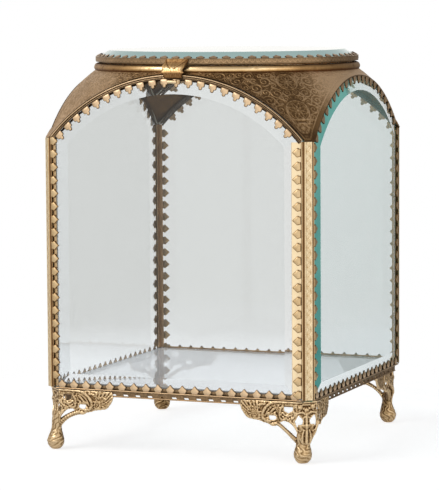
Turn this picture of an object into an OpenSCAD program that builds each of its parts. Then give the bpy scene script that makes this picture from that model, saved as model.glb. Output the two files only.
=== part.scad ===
// Bevelled glass casket box.
// A square body of four arched glass panes and a glass bottom, held by folded brass
// gallery strips with cut teeth. A domed brass shoulder closes the corners above the
// arches and carries a round collar. A round bevelled glass lid in a toothed brass rim
// is hinged at the rear and has a clasp at the front. Four cast openwork feet stand
// under the corners.
// Origin: middle of the footprint on the floor. X right, Y to the rear, Z up.

/* [Body] */
// Width and depth of the body over its brass corners
box_w = 140; // [120:1:160]
// Height of the straight corner posts
post_h = 123.5; // [100:0.2:160]
// Radius of the arch over each pane, at the outer edge of its brass strip
arch_r = 86.5; // [82:0.5:95]
// Leg of the chamfer on each corner post
post_chamfer = 3.4; // [2.6:0.1:4.4]
// Thickness of the sheet brass in the strips, posts and angles
sheet_t = 0.5; // [0.4:0.05:0.7]

/* [Glass] */
// Thickness of the side panes in the middle
pane_t = 4.7; // [4:0.1:6]
// Width of the ground bevel round each pane
bevel_w = 8.6; // [6:0.2:11]
// Height that the bevel drops to the edge of the pane
bevel_drop = 1.7; // [1.4:0.1:2.4]
// Thickness of the bottom glass
bottom_glass_t = 4; // [3:0.5:5]
// Gap left round the glass for fitting
glass_gap = 0.1; // [0.05:0.05:0.3]

/* [Gallery teeth] */
// Distance from one tooth to the next
tooth_pitch = 6.45; // [5.6:0.05:7.2]
// Widest part of a tooth
tooth_w = 4; // [3:0.1:4.6]
// Width of a tooth's neck
tooth_neck = 2.7; // [2:0.1:3.2]
// Height of a tooth from its strip to its tip
tooth_h = 3.7; // [3:0.1:4.2]
// Width of the flat between the chamfer and the teeth of a post
post_flat = 1.3; // [1:0.1:2]
// Width of the band that carries the teeth of an arch
arch_band_w = 2; // [1.6:0.1:3]
// Radius of the bead along the outer edge of an arch
bead_r = 0.45; // [0.3:0.05:0.6]

/* [Bottom rail] */
// Height of the upright wall of the bottom rail
rail_wall_h = 2.2; // [1.8:0.1:2.8]
// Depth of the shelf that the glass stands on
rail_shelf = 8; // [7:0.5:10]
// Leg of the rail's own corner chamfer
rail_corner = 5.5; // [4.6:0.1:6.5]
// Drop of the pierced strip below the rail's shelf
strip_drop = 1.4; // [1:0.1:2]
// Width of the slanted slots in the pierced strip
slot_w = 2.4; // [1.8:0.1:3]

/* [Shoulder and collar] */
// Thickness of the embossed shoulder
shoulder_t = 0.8; // [0.6:0.1:1.2]
// Distance from the faces of the body in to the collar's wall
collar_inset = 3.5; // [3:0.1:10]
// Height of the collar
collar_h = 3.2; // [2.8:0.1:4]
// Radius of the half-round moulding round the collar
moulding_r = 0.85; // [0.6:0.05:0.9]
// Width of the flat ring on which the lid rests
collar_ledge = 3.5; // [2.5:0.5:6]

/* [Lid] */
// Distance from the collar's wall in to the outside of the lid rim
lid_inset = 0.1; // [0:0.05:3]
// Height of the lid rim at its outer face
lid_rim_h = 3; // [2.6:0.1:4]
// Thickness of the lid glass in the middle
lid_glass_t = 5.4; // [4.5:0.1:6.5]
// Width of the bevel on the lid glass
lid_bevel_w = 6; // [4.5:0.5:9]
// Height that the lid bevel drops to the edge
lid_bevel_drop = 3.2; // [2:0.1:3.4]
// Gap between the closed lid and the collar
lid_gap = 0.3; // [0.25:0.05:0.6]

/* [Hinge and clasp] */
// Length of the hinge
hinge_l = 14; // [10:0.5:20]
// Outer radius of the hinge knuckles
knuckle_r = 1.4; // [1.2:0.05:1.6]
// Radius of the hinge pin
pin_r = 0.6; // [0.5:0.05:0.7]
// Clearance between the pin and its bores
pin_gap = 0.05; // [0.02:0.01:0.1]
// Width of the clasp
clasp_w = 12; // [9:0.5:15]
// Length of the catch bar
catch_l = 5.8; // [4:0.2:8]

/* [Feet] */
// Height of the feet
foot_h = 30.8; // [27:0.1:36]
// Height by which the feet lap the pierced strip
foot_lap = 1.55; // [1:0.05:2]
// Leg of the chamfer at the corner of a foot
foot_corner = 7.5; // [6:0.5:8.5]
// Reach of a foot's wing along the body
foot_wing = 35.5; // [32:0.5:42]
// Thickness of the cast wings
foot_t = 1; // [0.8:0.1:1.4]
// Distance from the faces of the body in to the paw's middle
paw_inset = 5; // [4:0.1:7]
// Radius of the paw
paw_r = 4.4; // [3.6:0.1:4.6]

/* [Hidden] */
$fn = 96;

BRASS = [0.72, 0.56, 0.34];
DARK_BRASS = [0.45, 0.33, 0.18];
PALE_BRASS = [0.85, 0.72, 0.48];
GLASS = [0.80, 0.88, 0.90, 0.35];

// Heights, from the floor up
half = box_w / 2;
collar_r = half - collar_inset;
lid_r = collar_r - lid_inset;
solder = 0.05;
seam = 0.1;
wing_z = foot_h - foot_lap;
rail_z = wing_z + solder;
shelf_t = sheet_t + 0.1;
glass_z = rail_z + shelf_t + glass_gap;
post_z = rail_z + rail_wall_h + 0.2;
post_top = post_z + post_h;
post_lap = 0.4;
post_bead_r = 0.35;

// The shoulder is part of one sphere. It meets the outer edge of each arch on the
// face of the body, and the middle of each post's chamfer at the top of the post.
sphere_r = sqrt(arch_r * arch_r + half * half);
chamfer_r = (half - post_chamfer / 2) * sqrt(2);
arc_z = post_top - sqrt(sphere_r * sphere_r - chamfer_r * chamfer_r);
shoulder_inset = sheet_t + 0.2;
shoulder_reach = half - shoulder_inset;
collar_cut_r = collar_r + seam;
collar_meet_z = arc_z + sqrt(sphere_r * sphere_r - collar_cut_r * collar_cut_r);
collar_bottom = collar_meet_z - shoulder_t - 0.55;
collar_top = collar_bottom + collar_h;
collar_proud = 0.5;

// Panes: the middle stands just proud of the strips, the edge lies behind them
pane_proud = 0.1;
pane_face = half + pane_proud;
pane_back = pane_face - pane_t;
pane_edge = pane_face - bevel_drop;
post_flange = half - post_chamfer - post_flat;
pane_half_w = post_flange - glass_gap;
pane_arch_r = arch_r - sheet_t - 0.2;

// Teeth
teeth_r = arch_r - arch_band_w;
straight_tooth = [[-tooth_neck / 2, 0], [-tooth_w / 2, 0.38 * tooth_h], [0, tooth_h],
                  [tooth_w / 2, 0.38 * tooth_h], [tooth_neck / 2, 0]];
star_tooth = [[-tooth_neck / 2, 0], [-tooth_w / 2, 0.36 * tooth_h],
              [-0.3 * tooth_w, 0.56 * tooth_h], [0, tooth_h], [0.3 * tooth_w, 0.56 * tooth_h],
              [tooth_w / 2, 0.36 * tooth_h], [tooth_neck / 2, 0]];
post_teeth = floor((post_h - tooth_w) / tooth_pitch) + 1;
rail_teeth = 2 * floor((post_flange - tooth_h - tooth_w / 2) / tooth_pitch + 0.5);
spring_angle = acos((post_top - arc_z) / arch_r);
arch_end = spring_angle - 0.7;
arch_step = tooth_pitch / teeth_r * 180 / PI;
arch_side_teeth = floor((arch_end - tooth_w / 2 / teeth_r * 180 / PI) / arch_step);

// Lid
lid_z = collar_top + lid_gap;
lid_flange_t = 0.5;
lid_wall = 0.6;
lid_flange_w = 3.9;
lid_glass_r = lid_r - lid_wall - 0.3;
lid_glass_z = lid_z + lid_flange_t + glass_gap;
lid_top = lid_glass_z + lid_glass_t;
lid_edge_z = lid_top - lid_bevel_drop;
lid_slope = lid_bevel_drop / lid_bevel_w;
lid_tooth_gap = 0.15;
lid_tooth_reach = 3.3;
lid_tooth_r = lid_r - 0.5;
lid_teeth = round(2 * PI * lid_r / tooth_pitch) - 2;
rim_top_z = lid_z + lid_rim_h;

// Hinge: the pin's axis lies behind the collar, level with the gap under the lid
hinge_y = collar_r + 2.15;
hinge_z = collar_top + 0.2;
knuckle_side = (hinge_l - 4.8) / 2 - 0.2;
knuckle_mid = 4.8;
leaf_t = 0.6;

// Clasp and catch
clasp_t = 0.8;
clasp_drop = 6.4;
catch_r = 1;

// Foot: each casting's ankle was bent a little by hand, in or out along the diagonal
FOOT_BEND = [-2, 0, 0, 1.8];
foot_proud = 0.1;
strip_play = 0.6;
ankle_z = 9.4;
paw_reach = half - paw_inset;
paw_z = paw_r - 0.3;
strut_r = 0.75;
plate_h = 14;
wing_waist = foot_wing - 17.7;

// ---- helpers ----

// Turns the front or front right piece to face k: front, right, rear, left
module turned(k) rotate([0, 0, 90 * k]) children();

// Sheet in the plane of the front face, from an outline in X and Z
module face_sheet(face_y, t) {
    translate([0, t - face_y, 0]) rotate([90, 0, 0]) linear_extrude(height = t) children();
}

// Profile in Y and Z, drawn along X
module along_x(length) rotate([90, 0, 90]) linear_extrude(height = length, center = true) children();

// Round bar between two points
module rod(a, b, r1, r2) {
    d = b - a;
    length = norm(d);
    translate(a)
        rotate([0, acos(d[2] / length), atan2(d[1], d[0])])
            cylinder(r1 = r1, r2 = r2, h = length);
}

// Outline of a straight row of teeth pointing up, with its band below
module tooth_row(count, band_length, band_depth) {
    first = -(count - 1) / 2 * tooth_pitch;
    teeth = [for (i = [0 : count - 1]) for (p = straight_tooth) [first + i * tooth_pitch + p[0], p[1]]];
    polygon(concat([[-band_length / 2, -band_depth], [-band_length / 2, 0]], teeth,
                   [[band_length / 2, 0], [band_length / 2, -band_depth]]));
}

// ---- glass ----

// Pane with an arched head and a bevel ground all round its outer face
module arched_pane() {
    head_z = arc_z + (post_top - arc_z) * 0.85;
    tall = box_w * 2;
    color(GLASS)
    intersection() {
        union() {
            translate([-half, -pane_face, 0]) cube([box_w, pane_t, head_z]);
            translate([0, -pane_back, arc_z]) rotate([90, 0, 0])
                cylinder(r = pane_arch_r, h = pane_edge - pane_back);
            translate([0, -pane_edge, arc_z]) rotate([90, 0, 0])
                cylinder(r1 = pane_arch_r, r2 = pane_arch_r - bevel_w, h = bevel_drop);
        }
        linear_extrude(height = tall)
            polygon([[-pane_half_w, -pane_back], [-pane_half_w, -pane_edge],
                     [bevel_w - pane_half_w, -pane_face], [pane_half_w - bevel_w, -pane_face],
                     [pane_half_w, -pane_edge], [pane_half_w, -pane_back]]);
        along_x(box_w)
            polygon([[-pane_back, glass_z], [-pane_edge, glass_z],
                     [-pane_face, glass_z + bevel_w], [-pane_face, tall], [-pane_back, tall]]);
    }
}

// Clear bottom, lying on the rail's shelf between the panes
module bottom_glass() {
    play = 0.3;
    side = 2 * (pane_back - play);
    color(GLASS)
    translate([-side / 2, -side / 2, glass_z]) cube([side, side, bottom_glass_t]);
}

// ---- brass frame ----

// Teeth and flat of a post on the front face
module post_teeth_strip() {
    flat = post_flat - post_lap / 4;
    face_sheet(half, sheet_t)
        translate([post_flange, (post_z + post_top) / 2]) rotate(90)
            tooth_row(post_teeth, post_h - 2 * solder, flat);
}

// Folded corner post: engraved chamfer between two beads, teeth on both faces
module corner_post() {
    fold = sheet_t * tan(22.5);
    c = half - post_chamfer;
    color(PALE_BRASS)
    union() {
        translate([0, 0, post_z + solder]) linear_extrude(height = post_h - 2 * solder)
            polygon([[c - post_lap, -half], [c, -half], [half, -c], [half, post_lap - c],
                     [half - sheet_t, post_lap - c], [half - sheet_t, fold - c],
                     [c - fold, sheet_t - half], [c - post_lap, sheet_t - half]]);
        post_teeth_strip();
        mirror([1, 1, 0]) post_teeth_strip();
        for (p = [[c, -half], [half, -c]])
            translate([p[0], p[1], post_z + solder])
                cylinder(r = post_bead_r, h = post_h - 2 * solder, $fn = 24);
    }
}

// Plain angle inside each corner, behind the two panes
module inner_angle() {
    leg = 4.6;
    face = pane_back - glass_gap;
    t = shelf_t;
    play = 0.3;
    bottom = glass_z + bottom_glass_t + play;
    color(DARK_BRASS)
    translate([0, 0, bottom]) linear_extrude(height = post_top - 0.2 - bottom)
        polygon([[face - leg, -face], [face, -face], [face, leg - face], [face - t, leg - face],
                 [face - t, t - face], [face - leg, t - face]]);
}

// Outline from above of a band whose corners are cut off, from its face to its back
module band_plan(face, straight, back) {
    corner_wall = 0.42;
    m = (face + straight) / 2;
    mi = m - corner_wall / sqrt(2);
    polygon([[-straight, -face], [straight, -face], [m, -m], [mi, -mi], [2 * mi - back, -back],
             [back - 2 * mi, -back], [-mi, -mi], [-m, -m]]);
}

// Shelf that the glass stands on
module rail_shelf_plate(face, straight) {
    m = (face + straight) / 2;
    inner = half - rail_shelf;
    translate([0, 0, rail_z]) linear_extrude(height = shelf_t)
        polygon([[-straight, -face], [straight, -face], [m, -m],
                 [inner, -inner], [-inner, -inner], [-m, -m]]);
}

// Pierced strip: upright sheet with a row of slanted slots between the teeth
module pierced_strip(face, straight, t, top) {
    bottom = rail_z - strip_drop;
    border = 0.65;
    slot_top = foot_h - border;
    lean = slot_w / 3;
    slots = rail_teeth - 1;
    face_sheet(face, t) difference() {
        translate([-straight, bottom]) square([2 * straight, top - bottom]);
        for (i = [0 : slots - 1])
            translate([(i - (slots - 1) / 2) * tooth_pitch - slot_w / 2, 0])
                polygon([[0, slot_top], [slot_w, slot_top],
                         [slot_w + lean, bottom + border], [lean, bottom + border]]);
    }
}

// Bottom rail: toothed band over a pierced strip, with a shelf, mitred at both ends
module bottom_rail() {
    strip_t = 0.3;
    strip_face = half + foot_proud - foot_t - seam;
    strip_back = strip_face - strip_t;
    strip_straight = half - foot_corner - strip_play;
    band_z = foot_h + seam;
    band_top = rail_z + rail_wall_h;
    band_straight = half - rail_corner;
    ledge_t = 0.3;
    color(BRASS)
    intersection() {
        union() {
            rail_shelf_plate(strip_back + strip_t / 2, strip_straight);
            pierced_strip(strip_face, strip_straight, strip_t, band_z + ledge_t / 2);
            translate([0, 0, band_z]) linear_extrude(height = ledge_t)
                band_plan(half, band_straight, strip_back);
            translate([0, 0, band_z]) linear_extrude(height = band_top - band_z)
                band_plan(half, band_straight, half - sheet_t);
            face_sheet(half, sheet_t)
                translate([0, band_top]) tooth_row(rail_teeth, 2 * (band_straight - seam), ledge_t);
        }
        linear_extrude(height = box_w)
            polygon([[-box_w, -box_w - seam / 2], [box_w, -box_w - seam / 2], [0, -seam / 2]]);
    }
}

// Toothed strip over an arch, with an eight-sided bead along its outer edge
module arch_strip() {
    steps = 24;
    far = arch_r + 3;
    outer = [for (i = [0 : steps]) let (a = arch_end * (1 - 2 * i / steps)) [far * sin(a), far * cos(a)]];
    teeth = [for (i = [-arch_side_teeth : arch_side_teeth]) let (a = i * arch_step)
        for (p = star_tooth)
            [(teeth_r - p[1]) * sin(a) + p[0] * cos(a), (teeth_r - p[1]) * cos(a) - p[0] * sin(a)]];
    first = [[-teeth_r * sin(arch_end), teeth_r * cos(arch_end)]];
    last = [[teeth_r * sin(arch_end), teeth_r * cos(arch_end)]];
    bead_x = arch_r - bead_r * 2 / 3;
    bead = [for (i = [0 : 7]) let (a = 45 * i + 22.5) [bead_x + bead_r * cos(a), bead_r * sin(a)]];
    color(BRASS)
    union() {
        intersection() {
            face_sheet(half, sheet_t) translate([0, arc_z]) polygon(concat(outer, first, teeth, last));
            translate([0, sheet_t - half + 1, arc_z]) rotate([90, 0, 0]) cylinder(r = arch_r, h = 4);
        }
        intersection() {
            translate([0, -half, arc_z]) rotate([90, 0, 0])
                rotate_extrude() polygon(bead);
            face_sheet(half + 1, 2) translate([0, arc_z]) polygon(concat([[0, 0]], outer));
        }
    }
}

// ---- shoulder and collar ----

// One corner of the domed shoulder, between two arches and the collar
module shoulder() {
    side = shoulder_reach - seam / 2;
    color(DARK_BRASS)
    difference() {
        intersection() {
            translate([0, 0, arc_z]) difference() {
                sphere(r = sphere_r, $fn = 192);
                sphere(r = sphere_r - shoulder_t, $fn = 192);
            }
            translate([seam / 2, -shoulder_reach, post_top]) cube([side, side, box_w]);
        }
        cylinder(r = collar_cut_r, h = box_w * 3);
    }
}

// Collar: upright wall, half-round moulding and the ledge that the lid rests on
module collar_ring() {
    wall = 0.8;
    ledge_t = 0.6;
    moulding_x = collar_r + collar_proud - moulding_r;
    color(PALE_BRASS)
    union() {
        translate([0, 0, collar_bottom]) rotate_extrude()
            polygon([[collar_r - wall, 0], [collar_r, 0], [collar_r, collar_h],
                     [collar_r - collar_ledge, collar_h], [collar_r - collar_ledge, collar_h - ledge_t],
                     [collar_r - wall, collar_h - ledge_t]]);
        translate([0, 0, collar_top - moulding_r]) rotate_extrude()
            intersection() {
                translate([moulding_x, 0]) circle(r = moulding_r, $fn = 48);
                translate([collar_r - wall / 2, -2 * moulding_r]) square(4 * moulding_r);
            }
    }
}

// ---- lid ----

// Height of the bevel's surface at radius r
function bevel_z(r) = lid_edge_z + (lid_glass_r - r) * lid_slope;

// Rim: flange under the glass, engraved wall, and teeth folded over the bevel
module lid_rim() {
    fold = 0.55;
    low = lid_tooth_gap;
    high = lid_tooth_gap + fold;
    tip = lid_tooth_r - tooth_h - 1;
    wall_r = lid_r - lid_wall;
    void_teeth = [for (i = [0 : lid_teeth - 1]) let (a = 360 * i / lid_teeth)
        for (p = straight_tooth)
            let (r = lid_tooth_r - p[1] * lid_tooth_reach / tooth_h)
            [r * sin(a) + p[0] * cos(a), -r * cos(a) + p[0] * sin(a)]];
    color(BRASS)
    union() {
        rotate_extrude()
            polygon([[lid_r - lid_flange_w, lid_z], [lid_r, lid_z], [lid_r, bevel_z(lid_r) + high],
                     [wall_r, bevel_z(wall_r) + high], [wall_r, lid_z + lid_flange_t],
                     [lid_r - lid_flange_w, lid_z + lid_flange_t]]);
        difference() {
            rotate_extrude()
                polygon([[tip, bevel_z(tip) + low], [lid_r - 0.1, bevel_z(lid_r - 0.1) + low],
                         [lid_r - 0.1, bevel_z(lid_r - 0.1) + high], [tip, bevel_z(tip) + high]]);
            translate([0, 0, lid_z]) linear_extrude(height = 20) polygon(void_teeth);
        }
    }
}

// Round glass with a broad bevel
module lid_glass() {
    color(GLASS)
    rotate_extrude()
        polygon([[0, lid_glass_z], [lid_glass_r, lid_glass_z], [lid_glass_r, lid_edge_z],
                 [lid_glass_r - lid_bevel_w, lid_top], [0, lid_top]]);
}

// ---- hinge, clasp and catch ----

// Knuckle from x0 to x1, still without its bore
module knuckle(x0, x1) {
    translate([x0, hinge_y, hinge_z]) rotate([0, 90, 0]) cylinder(r = knuckle_r, h = x1 - x0, $fn = 48);
}

// Bore for the pin
module pin_bore() {
    translate([-hinge_l, hinge_y, hinge_z]) rotate([0, 90, 0])
        cylinder(r = pin_r + pin_gap, h = 2 * hinge_l, $fn = 48);
}

// Leaf soldered behind the collar, with the two outer knuckles
module hinge_body_leaf() {
    leaf_y = collar_r + 0.6;
    leaf_z = collar_meet_z - 0.15;
    color(DARK_BRASS)
    difference() {
        union() {
            translate([-hinge_l / 2, leaf_y, leaf_z])
                cube([hinge_l, leaf_t, hinge_z - knuckle_r - leaf_z + 0.4]);
            for (x0 = [-hinge_l / 2, hinge_l / 2 - knuckle_side]) {
                translate([x0, leaf_y, leaf_z]) cube([knuckle_side, leaf_t, hinge_z - leaf_z]);
                knuckle(x0, x0 + knuckle_side);
            }
        }
        pin_bore();
    }
}

// Leaf soldered to the lid rim, with the middle knuckle
module hinge_lid_leaf() {
    leaf_y = lid_r + 0.15;
    leaf_z = hinge_z + 0.7;
    color(DARK_BRASS)
    difference() {
        union() {
            translate([-hinge_l / 2, leaf_y, leaf_z]) cube([hinge_l, leaf_t, lid_rim_h - 0.6]);
            translate([-knuckle_mid / 2, leaf_y, leaf_z]) cube([knuckle_mid, hinge_y - leaf_y, 0.6]);
            knuckle(-knuckle_mid / 2, knuckle_mid / 2);
        }
        pin_bore();
    }
}

// Pin with a small head at each end
module hinge_pin() {
    reach = hinge_l / 2 + 0.1;
    color(BRASS)
    translate([0, hinge_y, hinge_z]) rotate([0, 90, 0]) {
        cylinder(r = pin_r, h = 2 * reach, center = true, $fn = 48);
        for (s = [-1, 1])
            translate([0, 0, s * (reach + 0.25)])
                cylinder(r = pin_r + 0.45, h = 0.5, center = true, $fn = 48);
    }
}

// Clasp: saddle-shaped strap from the lid rim down over the collar
module lid_clasp() {
    y0 = -lid_r - 0.2;
    y1 = -half - bead_r - 0.35;
    z1 = lid_z - clasp_drop;
    foot_z = z1 + 2.1;
    color(PALE_BRASS)
    intersection() {
        along_x(box_w)
            polygon([[y0, rim_top_z], [y0, lid_z + 0.6], [y0 - 1.2, lid_z - 0.9], [y0 - 2.6, foot_z + 0.9],
                     [y1, foot_z], [y1, z1], [y1 - clasp_t, z1], [y1 - clasp_t, foot_z + 0.3],
                     [y0 - 3.6, foot_z + 1.7], [y0 - 2.3, lid_z - 0.3], [y0 - clasp_t, lid_z + 1.2],
                     [y0 - clasp_t, rim_top_z]]);
        face_sheet(half + 3, 10)
            polygon([[-clasp_w / 2, rim_top_z], [0.8 - clasp_w / 2, lid_z + 0.4],
                     [-clasp_w / 2 - 0.6, lid_z - 1.6], [0.9 - clasp_w / 2, lid_z - 3],
                     [0.9 - clasp_w / 2, z1 + 0.8], [1.6 - clasp_w / 2, z1],
                     [clasp_w / 2 - 1.6, z1], [clasp_w / 2 - 0.9, z1 + 0.8], [clasp_w / 2 - 0.9, lid_z - 3],
                     [clasp_w / 2 + 0.6, lid_z - 1.6], [clasp_w / 2 - 0.8, lid_z + 0.4],
                     [clasp_w / 2, rim_top_z]]);
    }
}

// Catch bar under the clasp, on the top of the front arch
module catch_bar() {
    bar_z = arc_z + teeth_r - catch_r - 0.3;
    color(PALE_BRASS)
    intersection() {
        translate([-catch_l / 2, -half - catch_r * 0.4, bar_z]) rotate([0, 90, 0])
            cylinder(r = catch_r, h = catch_l, $fn = 48);
        translate([-catch_l, -half - 5 - solder, bar_z - 5]) cube([2 * catch_l, 5, 10]);
    }
}

// ---- feet ----

// Openwork outline of a wing: first number is the distance from the body's corner
module wing_outline() {
    w = foot_wing;
    c = foot_corner;
    scroll_r = 0.75;
    scroll_x = wing_waist + 2.5;
    scroll_l = 1.8;
    difference() {
        polygon([[c, foot_h], [w, foot_h], [w + 0.6, wing_z - 3], [w - 0.8, wing_z - 5.8],
                 [w - 2.6, wing_z - 7.5], [w - 6, wing_z - 8.8], [w - 10, wing_z - 9.6],
                 [w - 13, wing_z - 10.4], [w - 14.9, wing_z - 11.3], [w - 16.9, wing_z - 11],
                 [w - 18.9, wing_z - 9.2], [c + 7, wing_z - 8.8], [c + 4.5, wing_z - 10.6],
                 [c + 2.3, wing_z - 13], [c, wing_z - plate_h - 2]]);
        // pierced leaf and scroll
        translate([c + 4.8, wing_z - 3.5]) circle(r = 1.3, $fn = 24);
        translate([c + 6.7, wing_z - 3.2]) circle(r = 1.2, $fn = 24);
        translate([scroll_x, wing_z - 7]) circle(r = scroll_r, $fn = 24);
        translate([scroll_x + scroll_l, wing_z - 7]) circle(r = scroll_r, $fn = 24);
        translate([scroll_x, wing_z - 7 - scroll_r]) square([scroll_l, 2 * scroll_r]);
    }
}

// One wing in the front face, with its strut curving down to the ankle
module foot_wing_part(reach) {
    face = half + foot_proud;
    knee = [half - wing_waist, foot_t / 2 - face, wing_z - 10];
    bend = [half - foot_corner - 6.4, foot_t + 3.2 - face, wing_z - plate_h - 0.6];
    ankle = [reach - 2.2, -reach - 0.4, ankle_z + 0.6];
    mirror([1, 0, 0]) translate([-half, 0, 0]) face_sheet(face, foot_t) wing_outline();
    rod(knee, bend, strut_r, strut_r);
    translate(bend) sphere(r = strut_r * 1.15, $fn = 24);
    rod(bend, ankle, strut_r, strut_r);
}

// Corner plate between the wings, with a lozenge on each side of its spine
module foot_corner_plate() {
    face = half + foot_proud;
    corner = half - foot_corner;
    fold = foot_t * tan(22.5);
    lap = 0.3;
    plate_lap = glass_z - glass_gap - wing_z;
    difference() {
        translate([0, 0, wing_z - plate_h]) linear_extrude(height = plate_h + plate_lap)
            polygon([[corner - lap, -face], [corner, -face], [face, -corner], [face, lap - corner],
                     [face - foot_t, lap - corner], [face - foot_t, fold - corner],
                     [corner - fold, foot_t - face], [corner - lap, foot_t - face]]);
        rotate([0, 0, -45]) for (side = [-1, 1])
            translate([box_w / 2, side * 2.7, wing_z - 8])
                rotate([90, 0, 90]) linear_extrude(height = box_w)
                    polygon([[-1.6, 0.4], [0, 2.6], [1.6, 0.2], [0.3, -3.4], [-0.5, -3.4]]);
    }
}

// Leg and paw in the plane of the diagonal, with a flat sole on the floor
module foot_leg(reach) {
    plate = (half + foot_proud + half - foot_corner) / sqrt(2);
    paw = reach * sqrt(2);
    rotate([0, 0, -45]) {
        intersection() {
            rotate([90, 0, 0]) linear_extrude(height = 12, center = true)
                polygon([[plate, wing_z - 11], [plate - 0.1, ankle_z + 4.8], [paw + 1.4, ankle_z + 1],
                         [paw + 2.4, paw_z + 1.9], [paw - 2.6, paw_z + 1.9], [paw - 2.9, ankle_z],
                         [paw - 2.2, ankle_z + 3.1], [plate - 2.6, ankle_z + 6.1],
                         [plate - 1.4, wing_z - 11]]);
            rotate([90, 0, 90]) linear_extrude(height = 2 * box_w)
                polygon([[-4.6, wing_z - 11], [-3.4, ankle_z + 0.5], [-3.8, paw_z + 0.9],
                         [3.8, paw_z + 0.9], [3.4, ankle_z + 0.5], [4.6, wing_z - 11]]);
        }
        difference() {
            translate([paw, 0, paw_z]) sphere(r = paw_r, $fn = 64);
            translate([paw, 0, -5]) cube(10, center = true);
        }
    }
}

// Cast foot, its ankle bent out by hand
module foot(bend_out) {
    color(BRASS)
    union() {
        foot_wing_part(paw_reach + bend_out);
        mirror([1, 1, 0]) foot_wing_part(paw_reach + bend_out);
        foot_corner_plate();
        foot_leg(paw_reach + bend_out);
    }
}

// ---- assembly ----

turned(0) arched_pane();  // front_glass
turned(1) arched_pane();  // right_glass
turned(2) arched_pane();  // rear_glass
turned(3) arched_pane();  // left_glass
bottom_glass();
turned(0) corner_post();  // corner_post_front_right
turned(1) corner_post();  // corner_post_rear_right
turned(2) corner_post();  // corner_post_rear_left
turned(3) corner_post();  // corner_post_front_left
turned(0) inner_angle();  // inner_angle_front_right
turned(1) inner_angle();  // inner_angle_rear_right
turned(2) inner_angle();  // inner_angle_rear_left
turned(3) inner_angle();  // inner_angle_front_left
turned(0) bottom_rail();  // bottom_rail_front
turned(1) bottom_rail();  // bottom_rail_right
turned(2) bottom_rail();  // bottom_rail_rear
turned(3) bottom_rail();  // bottom_rail_left
turned(0) arch_strip();  // arch_strip_front
turned(1) arch_strip();  // arch_strip_right
turned(2) arch_strip();  // arch_strip_rear
turned(3) arch_strip();  // arch_strip_left
turned(0) shoulder();  // shoulder_front_right
turned(1) shoulder();  // shoulder_rear_right
turned(2) shoulder();  // shoulder_rear_left
turned(3) shoulder();  // shoulder_front_left
turned(0) foot(FOOT_BEND[0]);  // foot_front_right
turned(1) foot(FOOT_BEND[1]);  // foot_rear_right
turned(2) foot(FOOT_BEND[2]);  // foot_rear_left
turned(3) foot(FOOT_BEND[3]);  // foot_front_left
collar_ring();
catch_bar();
hinge_body_leaf();
hinge_pin();
hinge_lid_leaf();
lid_rim();
lid_glass();
lid_clasp();
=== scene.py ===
"""Glass casket box: bevelled panes in a pierced and embossed brass frame, on cast feet.

Sizes are in millimetres and turned into metres where a mesh is built.
"""

from __future__ import annotations

import logging
import math
from dataclasses import dataclass, field
from enum import Enum
from functools import cache

import bmesh
import bpy
import numpy as np
from mathutils import Matrix, Vector


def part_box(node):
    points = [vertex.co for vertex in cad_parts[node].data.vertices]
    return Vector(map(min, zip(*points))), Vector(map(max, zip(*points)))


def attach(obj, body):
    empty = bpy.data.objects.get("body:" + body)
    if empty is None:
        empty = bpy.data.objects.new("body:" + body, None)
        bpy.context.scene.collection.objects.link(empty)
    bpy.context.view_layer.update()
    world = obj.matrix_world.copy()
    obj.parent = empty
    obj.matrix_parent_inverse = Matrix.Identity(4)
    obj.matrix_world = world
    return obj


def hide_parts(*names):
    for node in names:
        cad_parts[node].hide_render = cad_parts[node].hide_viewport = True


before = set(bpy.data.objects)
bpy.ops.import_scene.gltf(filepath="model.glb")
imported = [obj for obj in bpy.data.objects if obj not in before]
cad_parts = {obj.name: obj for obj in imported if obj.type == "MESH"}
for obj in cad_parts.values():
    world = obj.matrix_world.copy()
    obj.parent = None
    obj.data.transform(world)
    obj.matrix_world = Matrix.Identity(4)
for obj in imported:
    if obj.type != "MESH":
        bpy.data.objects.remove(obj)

MM = 0.001
LOG = logging.getLogger("casket")
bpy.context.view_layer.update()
Array = np.ndarray
Values = float | Array
Point = tuple[float, float]
Triple = tuple[float, float, float]
Color = Triple
Line = tuple[Point, ...]
Table = tuple[Triple, ...]

# ---- sizes shared by the pieces ----

HALF = 70.0
SHEET = 0.5
PITCH = 6.45
ARC_Z = 99.96
SPHERE_R = 111.27
TEETH_R = 84.5
GLASS_Z = 30.0
GLASS_W = 65.2
GLASS_R = 85.8
GLASS_EDGE = 68.4
BEVEL_SLOPE = 0.1977
LEDGE_BACK = (0.0, 0.12, 0.0)
FACES = ("front", "right", "rear", "left")
CORNERS = ("front_right", "rear_right", "rear_left", "front_left")


def quarter(points: Array, turns: int) -> Array:
    """Turns points about the upright axis.

    Args:
        points: an (n, 3) array.
        turns: how many quarter turns, anticlockwise from above.

    Returns:
        The turned copy.
    """
    c, s = ((1, 0), (0, 1), (-1, 0), (0, -1))[turns % 4]
    out = points.copy()
    out[:, 0] = c * points[:, 0] - s * points[:, 1]
    out[:, 1] = s * points[:, 0] + c * points[:, 1]
    return out


def circle(steps: int) -> Array:
    """Gives even angles round a full turn."""
    return np.linspace(0, math.tau, steps, endpoint=False)


def lathe(turn: Array, r: Array, z: Array) -> Array:
    """Gives points round the upright axis, one row for each angle."""
    x, y = r * np.cos(turn)[:, None], r * np.sin(turn)[:, None]
    return np.stack([x, y, np.broadcast_to(z, x.shape)], -1)


def polar(middle: Point, r: Values, turn: Array) -> Array:
    """Gives points of a plane round a middle, one in each row."""
    return np.column_stack([middle[0] + r * np.cos(turn), middle[1] + r * np.sin(turn)])


def cells(rows: int, columns: int) -> Array:
    """Gives the quads between the points of a grid, (rows - 1, columns - 1, 4)."""
    index = np.arange(rows * columns).reshape(rows, columns)
    return np.stack([index[:-1, :-1], index[:-1, 1:], index[1:, 1:], index[1:, :-1]], -1)


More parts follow.
